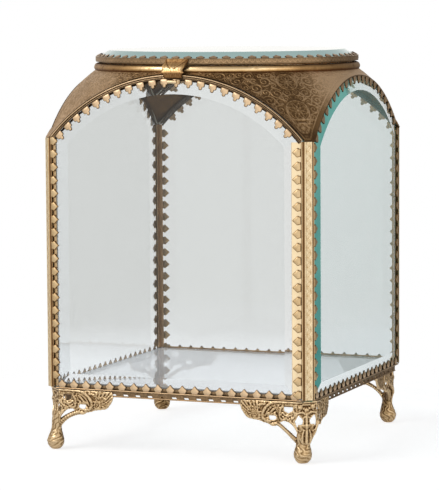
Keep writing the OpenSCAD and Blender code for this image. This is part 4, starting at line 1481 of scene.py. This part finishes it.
    def strut(self, skin: Skin, bend: float, side: int, thick: float, short: bool) -> None:
        """Adds the ribbed strut from a wing's knob to the ankle.

        Args:
            skin: the foot's skin.
            bend: how far the paw was bent outwards.
            side: 1 for the front wing, -1 for the right one.
            thick: its radius.
            short: whether it goes to the short wing.
        """
        b, drop = bend, min(bend, 0.0)
        path = smooth_line(np.array([
            [51.0, -69.2, 19.9], [53.3 + 0.1 * b, -69.1, 19.2], [56.1 + 0.45 * b, -68.7, 17.9 + 0.24 * drop],
            [59.2 + 0.85 * b, -68.0, 15.8 + 0.3 * drop], [61.5 + 1.15 * b, -67.0 - 0.3 * b, 13.4 + 0.3 * drop],
            [63.1 + 1.35 * b, -66.0 - 0.5 * b, 11.2], [64.0 + 1.35 * b, -65.2 - 0.8 * b, 9.0],
            [64.2 + 1.3 * b, -64.6 - b, 7.4]]))
        if short:
            path[:, 0] = path[-1, 0] + (path[:, 0] - path[-1, 0]) * self.short_strut
        step = np.gradient(path, axis=0)
        step /= np.linalg.norm(step, axis=1, keepdims=True)
        out = np.cross(step, [0, 0, 1.0])
        out /= np.linalg.norm(out, axis=1, keepdims=True)
        turn = circle(24)
        swell = np.interp(np.linspace(0, 1, len(path)), [0, 0.3, 0.7, 1], [1.0, 0.86, 1.15, 1.3])
        rib = 0.1 * np.sin(np.arange(len(path)) * 2.1)
        radius = (thick + 0.12 * np.cos(4 * turn))[None] * (swell + rib)[:, None]
        tube = path[:, None] + radius[..., None] * all_round(turn, out, np.cross(out, step))
        if side < 0:
            tube = np.stack([-tube[..., 1], -tube[..., 0], tube[..., 2]], -1)
        skin.rod(tube)

    def fuse(self, rough: bpy.types.Object) -> None:
        """Turns the overlapping parts into one cast skin and gives it its tones.

        Args:
            rough: the object, whose mesh is replaced.
        """
        remesh = rough.modifiers.new("cast", "REMESH")
        remesh.mode, remesh.voxel_size, remesh.use_smooth_shade = "VOXEL", self.voxel * MM, True
        graph = bpy.context.evaluated_depsgraph_get()
        cast = bpy.data.meshes.new_from_object(rough.evaluated_get(graph), depsgraph=graph)
        rough.modifiers.remove(remesh)
        spare, rough.data = rough.data, cast
        bpy.data.meshes.remove(spare)
        cast.name = rough.name
        if not cast.materials:
            cast.materials.append(coat(CAST))
        points, normals = read(cast.vertices, "co"), read(cast.vertices, "normal")
        points[:, 2] = np.maximum(points[:, 2], 0)
        limit = self.limit * MM
        high = points[:, 2] > 12 * MM
        points[:, :2] = np.where(high[:, None], np.clip(points[:, :2], -limit, limit), points[:, :2])
        cast.vertices.foreach_set("co", points.ravel())
        cast.update()
        outward = (normals[:, :2] * points[:, :2]).sum(1) / np.linalg.norm(points[:, :2], axis=1)
        tone = np.clip(cavity_tone(cast, 7, 0.08) + 0.04 - 0.4 * np.clip(-outward, 0, 1), 0, 1)
        cast.attributes.new("tone", "FLOAT", "POINT").data.foreach_set("value", tone.astype(np.float32))

    def build(self) -> None:
        """Makes the four feet."""
        for turns, (corner, bend, (dx, dy), thick) in enumerate(zip(CORNERS, self.bends, self.offsets, self.struts)):
            foot = self.skin(bend, thick, turns == 0).turn(turns).mesh(f"{corner}_foot", [CAST], weld=0.0005)
            self.fuse(foot)
            foot.data.transform(Matrix.Translation((dx * MM, dy * MM, 0)))
            place(foot, "box", "cast_brass", f"foot_{corner}")


# ---- domed shoulder ----


@dataclass
class Shoulder:
    """Domed corner sheet, embossed all over with scrolls and roundels."""

    reach: float = 69.3
    inner_r: float = 66.62
    tip_r: float = 96.5
    sheet: float = 0.8
    sink: float = 1.6
    side_reach: float = 70.95
    widest: float = 70.4
    height: float = 0.3
    around: int = 360
    across: int = 92
    cell: float = 0.22
    rise: float = 41.5
    seed: int = 29
    dust_seed: int = 3
    roundels: Table = ((0.0, -4.2, 6.2), (0.0, 14.6, 5.6), (0.0, -14.6, 3.2))
    rings: Line = ((0.97, 0.3), (0.8, 0.2))
    petals: int = 8
    petal: Line = (
        (0.18, 0.0), (0.4, 0.3), (0.66, 0.16), (0.72, 0.0), (0.66, -0.16), (0.4, -0.3), (0.18, 0.0))
    scroll_sizes: tuple[float, ...] = (3.3, 2.5, 1.8, 1.2)
    stem_from: float = 1.1
    scroll_from: float = 1.15
    leafy_from: float = 1.6
    tail: Line = ((0.3, 0.0), (0.8, 0.5), (1.05, 1.1))
    comma: tuple[float, ...] = (-0.75, -0.2, 0.35, 0.85)
    tries: int = 5200

    def flat(self, points: Array) -> Array:
        """Lays points of the dome out flat around the corner's middle.

        Args:
            points: (..., 3) points of the front right shoulder.

        Returns:
            (..., 2) distances sideways and upwards.
        """
        d = (points - [0, 0, ARC_Z]) / SPHERE_R
        e = math.radians(self.rise)
        out = np.array([math.cos(e) * math.sqrt(0.5), -math.cos(e) * math.sqrt(0.5), math.sin(e)])
        side = np.array([math.sqrt(0.5), math.sqrt(0.5), 0])
        up = np.cross(out, side)
        up = up if up[2] > 0 else -up
        ahead = d @ out
        return np.stack([SPHERE_R * np.arctan2(d @ side, ahead), SPHERE_R * np.arctan2(d @ up, ahead)], -1)

    def dome(self, r: Array, turn: Array, lift: Values = 0.0,
             from_edge: Values = 99.0) -> Array:
        """Gives points of the dome, a little flatter than a sphere except along a raised edge and at its tip.

        Args:
            r: distance from the upright axis.
            turn: angle from the front towards the right, in radians.
            lift: distance out of the dome.
            from_edge: distance from the raised edge.

        Returns:
            Points, (..., 3).
        """
        z = np.sqrt(SPHERE_R ** 2 - r ** 2)
        sunk = self.sink * (1 - np.exp(-np.maximum(from_edge, 0) / 1.3)) * np.clip((self.tip_r - r) / 3.5, 0, 1)
        k = (SPHERE_R + lift - sunk) / SPHERE_R
        return np.stack([r * np.sin(turn) * k, -r * np.cos(turn) * k, ARC_Z + z * k], -1)

    def pattern(self) -> tuple[Array, Array]:
        """Lays out the half pattern: roundels on the corner, then scrolls packed into what is left.

        Returns:
            The heights on a flat grid, and the grid's lowest corner.
        """
        turn = np.radians(np.linspace(45, 0, 60))
        top = self.flat(self.dome(np.full(60, self.inner_r + 0.9), turn)) * [-1, 1]
        low_r = np.minimum((self.reach - 0.5) / np.cos(turn), self.tip_r - 0.6)
        low = self.flat(self.dome(low_r, turn)) * [-1, 1]
        shape = np.vstack([top, low[::-1]])
        u = np.arange(-0.5, shape[:, 0].max() + 1, self.cell)
        v = np.arange(shape[:, 1].min() - 1, shape[:, 1].max() + 1, self.cell)
        relief = Relief(np.stack(np.meshgrid(u, v), -1))
        relief.ridge(top, 0.35, 0.7)
        relief.ridge(low, 0.35, 0.8)
        rng = np.random.default_rng(self.seed)
        spots = list(self.roundels)
        for spot in spots:
            self.roundel(relief, spot)
        tries = np.column_stack([rng.uniform(0, shape[:, 0].max(), self.tries), rng.uniform(v[0], v[-1], self.tries)])
        room = inside_by(tries, shape)
        for limit in self.scroll_sizes:
            for (at_u, at_v), space in zip(tries, room):
                if space < limit * 0.75:
                    continue
                gap = min(math.hypot(at_u - hand * a, at_v - b) - r for a, b, r in spots for hand in (1, -1))
                r = min(gap + 0.1, limit, space + 0.25)
                if r < limit * 0.82:
                    continue
                spots.append((at_u, at_v, r))
                self.scroll(relief, spots[-1], rng)
        self.stems(relief, spots, rng)
        reach = np.array(self.comma)
        for at_u, at_v in tries[room > 0.3][:self.tries // 2]:
            j, i = int((at_u - u[0]) / self.cell), int((at_v - v[0]) / self.cell)
            if relief.height[i - 2:i + 3, j - 2:j + 3].max(initial=0) > 0.4:
                continue
            turn, bend = rng.uniform(0, math.tau), rng.uniform(-0.9, 0.9)
            relief.ridge(polar((at_u, at_v), reach, turn + bend * reach), 0.27, 0.8, taper=0.35)
        return relief.height + 0.05 * rng.standard_normal(relief.height.shape), np.array([u[0], v[0]])

    def stems(self, relief: Relief, spots: list[Triple], rng: np.random.Generator) -> None:
        """Joins each scroll to its nearest neighbours with a bent, leafy stem.

        Args:
            relief: the field.
            spots: the middle and radius of each scroll.
            rng: chooses how each stem bends.
        """
        table = np.array(spots)
        for u, v, r in spots:
            if r < self.stem_from:
                continue
            far = np.hypot(table[:, 0] - u, table[:, 1] - v) + np.where(table[:, 2] < self.stem_from, 99, 0)
            for other in np.argsort(far)[1:3]:
                a, b = np.array([u, v]), table[other, :2]
                way = (b - a) / max(np.linalg.norm(b - a), 1e-6)
                side = np.array([-way[1], way[0]]) * rng.choice([-1, 1])
                start, end = a + (way * 0.45 + side * 0.85) * r, b - (way * 0.45 + side * 0.85) * table[other, 2]
                middle = (start + end) / 2
                relief.ridge([start, middle + side * 0.25, end], 0.26, 0.95)
                for hand in (1, -1):
                    leaf = [middle, middle + hand * side * 0.6 + way * 0.1, middle + hand * side * 1.15 + way * 0.6]
                    relief.ridge(leaf, 0.3, 0.85, taper=0.4)

    def roundel(self, relief: Relief, spot: Triple) -> None:
        """Draws a ringed rosette.

        Args:
            relief: the field.
            spot: its middle and radius.
        """
        *middle, r = spot
        ring = np.linspace(0, math.tau, 40)
        for share, width in self.rings:
            relief.ridge(polar(middle, r * share, ring), width, 1, smooth=False)
        share, bend = np.array(self.petal).T
        for k in range(self.petals):
            relief.ridge(polar(middle, r * share, math.tau * (k + 0.5) / self.petals + bend), 0.24, 0.9)
        relief.bead(middle, 0.16 * r, 1)

    def scroll(self, relief: Relief, spot: Triple, rng: np.random.Generator) -> None:
        """Draws one scroll that fills a round space, or a bead with a tail where there's little room.

        Args:
            relief: the field.
            spot: the space's middle and radius.
            rng: chooses its turn and hand.
        """
        *middle, r = spot
        start, hand = rng.uniform(0, math.tau), rng.choice([-1, 1])
        if r < self.scroll_from:
            relief.bead(middle, 0.45 * r + 0.1, 0.75)
            share, bend = np.array(self.tail).T
            relief.ridge(polar(middle, r * share, start + bend), 0.2, 0.7, taper=0.5)
            return
        turns = 0.85 + 0.2 * r
        t = np.linspace(0, 1, int(14 * turns))
        line = polar(middle, r * (1.08 - 0.92 * t ** 0.9), start + hand * math.tau * turns * t)
        relief.ridge(line, 0.27, 1.0, taper=0.85, smooth=False)
        relief.bead(line[-1], 0.42, 1)
        if r > self.leafy_from:
            for k in range(3, len(t) // 2, 4):
                out = line[k] - middle
                out = out / np.linalg.norm(out)
                side = np.array([-out[1], out[0]]) * hand
                leaf = [line[k], line[k] - out * 0.42 + side * 0.5, line[k] - out * 0.95 + side * 0.55]
                relief.ridge(leaf, 0.28, 0.8, taper=0.4)

    def dust(self, azimuth: Array) -> Array:
        """Gives how dulled the sheet is at an azimuth in degrees, 0 at the front and 90 at the right."""
        return np.maximum(np.clip((azimuth - 47) / 16, 0, 1), np.clip((-azimuth - 12) / 22, 0, 1))

    def build(self) -> None:
        """Makes the four shoulders."""
        heights, origin = self.pattern()
        turn = np.linspace(0, math.pi / 2, self.around)
        share = np.linspace(0, 1, self.across)[None]
        rng = np.random.default_rng(self.dust_seed)
        for index, corner in enumerate(CORNERS):
            ahead, aside = np.cos(turn), np.sin(turn)
            if index == 3:
                ahead, aside = aside, ahead
            fronted = index in (0, 3)
            reach = self.reach if fronted else self.side_reach
            limit = np.minimum(reach / np.maximum(ahead, 1e-6), self.side_reach / np.maximum(aside, 1e-6))
            r = self.inner_r + (np.minimum(limit, self.tip_r)[:, None] - self.inner_r) * share
            turns = np.broadcast_to(turn[:, None], r.shape)
            from_edge = self.reach - r * ahead[:, None] if fronted else np.full(r.shape, 99.0)
            uv = self.flat(self.dome(r, turns))
            u, v = (np.abs(uv[..., 0]) - origin[0]) / self.cell, (uv[..., 1] - origin[1]) / self.cell
            i, j = np.clip(v.astype(int), 0, heights.shape[0] - 2), np.clip(u.astype(int), 0, heights.shape[1] - 2)
            a, b = np.clip(v - i, 0, 1), np.clip(u - j, 0, 1)
            raised = ((1 - a) * (1 - b) * heights[i, j] + (1 - a) * b * heights[i, j + 1]
                      + a * (1 - b) * heights[i + 1, j] + a * b * heights[i + 1, j + 1])
            azimuth = (np.degrees(turns) + 90 * index + 180) % 360 - 180
            dull, proud = self.dust(azimuth), np.clip(raised, 0, 1)
            grain = rng.uniform(0, 1, r.shape)
            lift = self.height * np.clip(raised, -0.3, 1.1) * (1 - 0.45 * dull)
            tone = ((0.1 + 0.68 * proud) * (1 - dull)
                    + (0.53 + 0.24 * (azimuth > 0) + 0.34 * grain + 0.16 * proud) * dull)
            outer = self.dome(r, turns, lift, from_edge)
            outer[..., :2] = np.clip(outer[..., :2], -self.widest, self.widest)
            inner = self.dome(r[:, ::13], turns[:, ::13], -self.sheet, from_edge[:, ::13])[:, ::-1]
            skin = Skin()
            skin.rod(np.hstack([outer, inner]), np.hstack([np.clip(tone, 0, 1), np.full(inner.shape[:2], 0.14)]))
            piece = skin.turn(index).mesh(f"{corner}_shoulder", [EMBOSSED])
            place(piece, "box", "embossed_brass", f"shoulder_{corner}")


# ---- collar, lid rim and clasp ----


@dataclass
class Collar:
    """Broad half-round moulding round the mouth, seated on the dome, with a ledge inside."""

    # profile: radius, height and tone; the tone is a painted highlight just above the moulding's widest point, with
    # painted shade on its lower part
    profile: Table = (
        (65.7, 187.3, 0.0), (66.6, 187.3, 0.0), (66.95, 187.75, 0.12), (67.15, 188.2, 0.5), (67.2, 188.65, 0.8),
        (67.15, 189.1, 1.0), (67.0, 189.5, 0.95), (66.8, 189.9, 0.8), (66.55, 190.25, 0.62), (66.2, 190.52, 0.4),
        (65.8, 190.74, 0.15), (63.0, 190.74, 0.1), (63.0, 190.15, 0.0), (65.7, 190.15, 0.0))
    steps: int = 480
    nicks: int = 46
    seed: int = 17

    def build(self) -> None:
        """Makes the collar and puts it on the box."""
        skin, turn = Skin(), circle(self.steps)
        r, z, tone = np.array(self.profile).T
        rng = np.random.default_rng(self.seed)
        dent = np.zeros((self.steps, len(r)))
        for _ in range(self.nicks):
            at, depth, row = rng.uniform(0, math.tau), rng.uniform(0.06, 0.26), rng.uniform(2, 9)
            away = np.abs((turn - at + math.pi) % (math.tau) - math.pi) * 68
            dent += depth * np.outer(groove(away, rng.uniform(0.5, 1.3)), groove(np.arange(len(r)) - row, 2.2))
        azimuth = (np.degrees(turn) + 90 + 180) % 360 - 180
        # painted highlight round the front, about 12 degrees to the right; the tone falls to a third round the rest,
        # where the collar is dusty
        highlight_and_dust = 1 - 0.66 * np.clip((np.abs(azimuth - 12) - 20) / 24, 0, 1)
        skin.grid(lathe(turn, r - dent, z), np.clip(tone * highlight_and_dust[:, None] - 1.6 * dent, 0, 1), loop_u=True, loop_v=True)
        place(skin.mesh("collar", [MOULDED], sharp=50), "box", "engraved_brass", "collar_ring")


@dataclass
class LidRim:
    """Engraved rim of the lid, with teeth folded over the glass bevel."""

    outer_r: float = 66.4
    flange_r: float = 62.5
    low: float = 191.5
    top: float = 194.22
    slope: float = 0.533
    teeth: int = 65
    tooth_r: float = 65.9
    tooth_reach: float = 2.7
    tooth_w: float = 4.3
    tooth_dome: float = 0.2
    phase: float = 0.84
    columns: int = 1500
    leaf: float = 2.78

    def engraving(self, s: Array, z: Array) -> Array:
        """Gives the height of the engraved leaves.

        Args:
            s: distance round the rim.
            z: height from the middle of the wall.

        Returns:
            The height from 0 to 1.
        """
        d = s - np.round(s / self.leaf) * self.leaf
        arc = groove(np.hypot(d / 1.25, (z - 0.75) / 1.45) - 0.85, 0.2) * (z < 0.8)
        eye = groove(np.hypot(d, z - 0.35), 0.5)
        scratch = 0.5 + 0.5 * np.sin(9 * s + 5 * z) * np.sin(3.7 * s - 6 * z + 1)
        return 0.3 + 0.55 * arc + 0.35 * eye + 0.22 * scratch * (np.abs(z) < 1) + 0.3 * groove(np.abs(z) - 1.22, 0.16)

    def build(self) -> None:
        """Makes the rim and puts it on the lid."""
        skin, turn = Skin(), circle(self.columns)
        z = np.linspace(self.low + 0.1, self.top - 0.1, 15)
        raised = self.engraving((turn * self.outer_r)[:, None], (z - (self.low + self.top) / 2)[None])
        wall, edge, flange = self.outer_r - 0.3, self.outer_r - 0.6, self.flange_r
        cap = np.array([(wall, self.top + 0.03, 0.9), (edge, self.top + 0.03, 0.3), (edge, self.low + 0.5, 0),
                        (flange, self.low + 0.5, 0.1), (flange, self.low, 0.05), (wall, self.low, 0.05)])
        cap_r, cap_z, cap_tone = cap.T
        full = (self.columns, len(cap))
        r = np.hstack([self.outer_r - 0.12 + 0.14 * raised, np.broadcast_to(cap_r, full)])
        tone = np.hstack([np.clip(0.05 + 0.55 * raised, 0, 1), np.broadcast_to(cap_tone, full)])
        skin.grid(lathe(turn, r, np.hstack([z, cap_z])), tone, loop_u=True, loop_v=True)
        a = (np.arange(self.teeth) + self.phase) * math.tau / self.teeth - math.pi / 2
        radial = np.column_stack([np.cos(a), np.sin(a), np.zeros(self.teeth)])
        tilt = math.atan(self.slope)
        CUTTER.cut(skin, Form.HOUSE, radial * self.tooth_r + [0, 0, self.top + 0.06],
                   radial * math.sin(tilt) + [0, 0, math.cos(tilt)], [0, 0, math.sin(tilt)] - radial * math.cos(tilt),
                   height=self.tooth_reach, width=self.tooth_w, dome=self.tooth_dome, shade=0.7)
        place(skin.mesh("lid_rim_engraved", [TOOTHED]), "lid", "toothed_brass", "lid_rim")


@dataclass
class Clasp:
    """Saddle-shaped strap on the lid."""

    thickness: float = 0.7
    line: Line = ((67.3, 194.2), (67.5, 193.3), (67.9, 192.4), (68.9, 191.3), (69.8, 190.2), (70.4, 189.2),
                               (71.0, 188.2), (71.25, 187.4), (71.3, 186.4), (71.3, 185.5), (71.2, 184.9))
    sides: Table = (
        (184.9, -4.7, 4.6), (185.6, -5.0, 4.5), (186.5, -5.3, 4.5), (187.2, -6.0, 5.0), (187.75, -6.7, 5.9),
        (188.3, -6.1, 5.0), (189, -5.9, 4.6), (190, -6.2, 5.0), (191.1, -6.6, 5.5), (192.2, -6.2, 5.9),
        (193.2, -5.6, 6.2), (194.2, -5.2, 6.6))
    rows: int = 72
    across: int = 48
    scratches: int = 34
    seed: int = 8

    def build(self) -> None:
        """Makes the clasp and puts it on the lid."""
        skin = Skin()
        path = smooth_line(self.line, 7)
        even = np.linspace(0, 1, self.rows)
        path = np.column_stack([np.interp(even, np.linspace(0, 1, len(path)), path[:, k]) for k in (0, 1)])
        step = np.gradient(path, axis=0)
        step /= np.linalg.norm(step, axis=1, keepdims=True)
        out = np.column_stack([-step[:, 1], step[:, 0]])
        table = np.array(self.sides)
        left, right = (np.interp(path[:, 1], table[:, 0], table[:, k]) for k in (1, 2))
        vv, zz = np.meshgrid(np.linspace(-1, 1, self.across), path[:, 1])
        crown = groove(zz - 189.4, 2.2)
        crease = groove(np.abs(vv) * 6 - (zz - 188.4) * 1.1, 0.55) * (zz > 189.2)
        rng = np.random.default_rng(self.seed)
        scratch = np.zeros_like(vv)
        for _ in range(self.scratches):
            x0, z0, lean = rng.uniform(-5, 5), rng.uniform(185, 194), rng.uniform(-0.9, 0.9)
            scratch += groove((vv * 5.5 - x0) - lean * (zz - z0), 0.17) * (np.abs(zz - z0) < rng.uniform(0.8, 2.4))
        scratch = np.clip(scratch, 0, 1)
        lip = groove(np.abs(vv) - 1, 0.1) + groove(zz - 184.9, 0.4)
        lift = 0.28 * crown * (1 - vv ** 2) - 0.22 * crease - 0.07 * scratch - 0.25 * np.abs(vv) ** 6 - 0.1 * lip
        # painted highlight along the crown, at about 189.4 mm, and painted shade below 187.4 and above 192.2, where the
        # strap curves away; the creases, scratches and edges are darker too
        tone = (0.38 + 0.38 * crown - 0.42 * crease - 0.28 * scratch - 0.3 * lip - 0.2 * (zz < 187.4)
                - 0.2 * (zz > 192.2))
        x = left[:, None] + (vv + 1) / 2 * (right - left)[:, None]
        front = np.stack([x, -(path[:, :1] + out[:, :1] * lift), path[:, 1:] + out[:, 1:] * lift], -1)
        y, z = (np.broadcast_to(v[:, None], x.shape) for v in (path - out * self.thickness).T)
        skin.sheet(front, (np.stack([x, -y, z], -1) - front).reshape(-1, 3), np.clip(tone, 0, 1).ravel())
        place(skin.mesh("clasp", [MOULDED]), "lid", "engraved_brass", "lid_clasp")


@dataclass
class CatchBar:
    """Short tube on the front arch that the clasp snaps over, with its pin."""

    radius: float = 0.87
    pin: float = 0.32
    stem: float = 0.3
    around: int = 20

    def tube(self, skin: Skin, ends: list[Triple], radius: float) -> None:
        """Adds a tube with rounded ends.

        Args:
            skin: the piece's skin.
            ends: middles of its two ends.
            radius: its radius.
        """
        low, high = np.array(ends)
        way = (high - low) / np.linalg.norm(high - low)
        side = np.cross(way, [0, -1.0, 0])
        inset = np.array([[0], [0.1], [0.3]]) * radius
        middles = np.vstack([low + way * inset, high - way * inset[::-1]])
        size = radius * np.array([0.75, 0.94, 1, 1, 0.94, 0.75])
        turn = circle(self.around)
        # painted highlight: each tube is lighter on the side turned to the front
        skin.rod(middles[:, None] + size[:, None, None] * all_round(turn, np.cross(side, way), side),
                 0.3 + 0.6 * np.clip(np.cos(turn - 0.4), 0, 1))

    def build(self) -> None:
        """Makes the bar and puts it on the box."""
        low, high = (np.array(c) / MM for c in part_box("catch_bar"))
        y, z, end = (low[1] + high[1]) / 2, (low[2] + high[2]) / 2, high[0]
        skin = Skin()
        self.tube(skin, [(low[0], y, z), (end - 0.9, y, z)], min(self.radius, (high[2] - low[2]) / 2))
        self.tube(skin, [(end - 0.35, y, z - 0.9), (end - 0.35, y, z + 0.95)], self.pin)
        self.tube(skin, [(end - 1.2, y, z), (end - 0.2, y, z)], self.stem)
        place(skin.mesh("catch_bar_turned", [ENGRAVED]), "box", "engraved_brass", "catch_bar")


@dataclass
class InnerAngle:
    """Narrow angle inside each corner, behind the panes."""

    legs: tuple[float, ...] = (2.3, 2.3, 2.3, 0.8)
    sheet: float = 0.45

    def build(self) -> None:
        """Makes the four angles."""
        low, high = (np.array(c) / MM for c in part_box("inner_angle_front_right"))
        face, t = high[0], self.sheet
        for turns, (name, leg) in enumerate(zip(CORNERS, self.legs)):
            corner = [(face - leg, -face), (face, -face), (face, leg - face), (face - t, leg - face),
                      (face - t, t - face), (face - leg, t - face)]
            skin = Skin()
            skin.rod(np.array([[(x, y, z) for x, y in corner] for z in (low[2], high[2])]), 0.42)
            place(skin.turn(turns).mesh(f"{name}_angle", [TOOTHED]), "box", "dark_brass", f"inner_angle_{name}")


# ---- CAD nodes that keep their shape ----


class Kept:
    """Gives the CAD nodes that stay visible, the hinge's, their finish."""

    def build(self) -> None:
        """Dresses every node; the ones that a piece replaces aren't shown."""
        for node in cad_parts.values():
            node.data.materials.clear()
            node.data.materials.append(coat(DARK))


# ---- camera and studio ----


@dataclass
class Viewpoint:
    """The camera."""

    location: Triple = (489.5, -1235.7, 227.8)
    yaw: float = 21.80
    pitch: float = 5.59
    roll: float = -0.0062
    lens: float = 192.7
    sensor: float = 36

    def build(self) -> None:
        """Makes the scene's camera."""
        data = bpy.data.cameras.new("camera")
        data.lens, data.sensor_width, data.sensor_fit = self.lens, self.sensor, "AUTO"
        data.clip_start, data.clip_end = 0.05, 50
        stand = Matrix.Translation(Vector(self.location) * MM)
        for angle, axis in ((math.radians(self.yaw), "Z"), (math.radians(90 - self.pitch), "X"), (self.roll, "Z")):
            stand @= Matrix.Rotation(angle, 4, axis)
        bpy.context.scene.camera = show("camera", data)
        bpy.context.scene.camera.matrix_world = stand


@dataclass
class Studio:
    """Pale floor, white backdrop and soft lamps."""

    ambient: float = 0.4
    sky: Color = (0.93, 0.96, 1.0)
    shine: float = 1.08
    ceiling: float = 0.42
    room: Line = (
        (0.0, 0.62), (0.12, 0.6), (0.19, 0.86), (0.26, 1.02), (0.34, 0.98), (0.44, 0.9), (0.53, 0.64), (0.66, 0.16),
        (0.74, 0.32), (0.8, 1.0), (0.92, 0.7))
    floor_size: float = 0.6
    floor_z: float = -0.0003
    floor_grey: float = 0.45
    glossy_glow: float = 0.36
    glows: tuple[tuple[str, float], ...] = (("Camera", 0.74), ("Transmission", 1.45))
    fade_from: float = 0.12
    fade_to: float = 0.26

    def lamp(self, name: str, stand: Triple, size: float, power: float) -> None:
        """Makes a square lamp that points at the box.

        Args:
            name: the lamp's name.
            stand: where it hangs, in metres.
            size: its side in metres.
            power: its power in watts.
        """
        data = bpy.data.lights.new(name, "AREA")
        data.shape, data.size, data.energy = "SQUARE", size, power
        aim = Vector((0, 0, 0.1)) - Vector(stand)
        turn = aim.to_track_quat("-Z", "Y").to_matrix().to_4x4()
        show(name, data).matrix_world = Matrix.Translation(stand) @ turn

    def world(self) -> None:
        """Makes the world: white to the eye and through glass, a soft room with a bright side as light on metal."""
        world = bpy.data.worlds.new("studio")
        bpy.context.scene.world = world
        world.use_nodes = True
        w = Wiring(world.node_tree)
        path = w.add("LightPath").outputs
        way = w.add("SeparateXYZ", w.add("TexCoord").outputs["Generated"]).outputs
        turn = w.math("DIVIDE", w.math("ARCTAN2", way["Y"], way["X"]), math.tau)
        around = w.ramp(w.math("ADD", turn, 0.5, True), [(at, (v, v * 0.98, v * 0.95)) for at, v in self.room])
        around.node.color_ramp.interpolation = "EASE"
        above = w.ramp(way["Z"], [(0.25, (0, 0, 0)), (0.7, (1, 1, 1))])
        ceiling = (self.ceiling, self.ceiling, self.ceiling * 1.04, 1)
        room = w.add("Mix", above, *[None] * 5, around, ceiling, data_type="RGBA").outputs[2]
        plain = w.pipe("Background", (*self.sky, 1), self.ambient)
        seen = w.pipe("MixShader", path["Is Glossy Ray"], plain, w.pipe("Background", room, self.shine))
        eye = w.math("MAXIMUM", path["Is Camera Ray"], path["Is Transmission Ray"])
        w.add("OutputWorld", w.pipe("MixShader", eye, seen, w.pipe("Background", (1, 1, 1, 1))))

    def floor(self) -> None:
        """Makes the floor, which glows for the eye and keeps the shadow."""
        material, w = Wiring.material("floor")
        path = w.add("LightPath").outputs
        bright = w.math("MULTIPLY", path["Is Glossy Ray"], self.glossy_glow)
        for ray, strength in self.glows:
            bright = w.math("MAXIMUM", bright, w.math("MULTIPLY", path[f"Is {ray} Ray"], strength))
        eye = w.math("MAXIMUM", path["Is Camera Ray"], path["Is Glossy Ray"])
        eye = w.math("MAXIMUM", eye, path["Is Transmission Ray"])
        dull = w.pipe("BsdfDiffuse", (self.floor_grey, self.floor_grey, self.floor_grey, 1))
        near = w.pipe("MixShader", eye, dull, w.pipe("AddShader", dull, w.pipe("Emission", Strength=bright)))
        far = w.add("VectorMath", w.add("TexCoord").outputs["Object"], operation="LENGTH").outputs["Value"]
        fade = w.pipe("MapRange", far, self.fade_from, self.fade_to)
        w.add("OutputMaterial", w.pipe("MixShader", fade, near, w.pipe("BsdfTransparent")))
        data = bpy.data.meshes.new("floor")
        s = self.floor_size
        data.from_pydata([(x, y, self.floor_z) for x, y in ((-s, -s), (s, -s), (s, s), (-s, s))], [], [(0, 1, 2, 3)])
        data.materials.append(material)
        show("floor", data)

    def build(self) -> None:
        """Makes the world, the floor and the lamps."""
        self.world()
        self.floor()
        self.lamp("key", (-1.6, -2.0, 2.2), 1.6, 42)
        self.lamp("fill", (2.6, -1.2, 1.4), 1.8, 9)
        bpy.context.scene.view_settings.view_transform = "Standard"


def main() -> None:
    """Builds the camera, the pieces in order and the studio."""
    logging.basicConfig(level=logging.INFO, format="%(name)s: %(message)s")
    for part in (Viewpoint, Panes, LidGlass, CornerPost, BottomRail, ArchStrip, LidRim):
        part().build()
    CUTTER.clear()
    for part in (Collar, Clasp, CatchBar, InnerAngle, Shoulder, CastFoot, Kept, Studio):
        part().build()


if __name__ == "__main__":
    main()
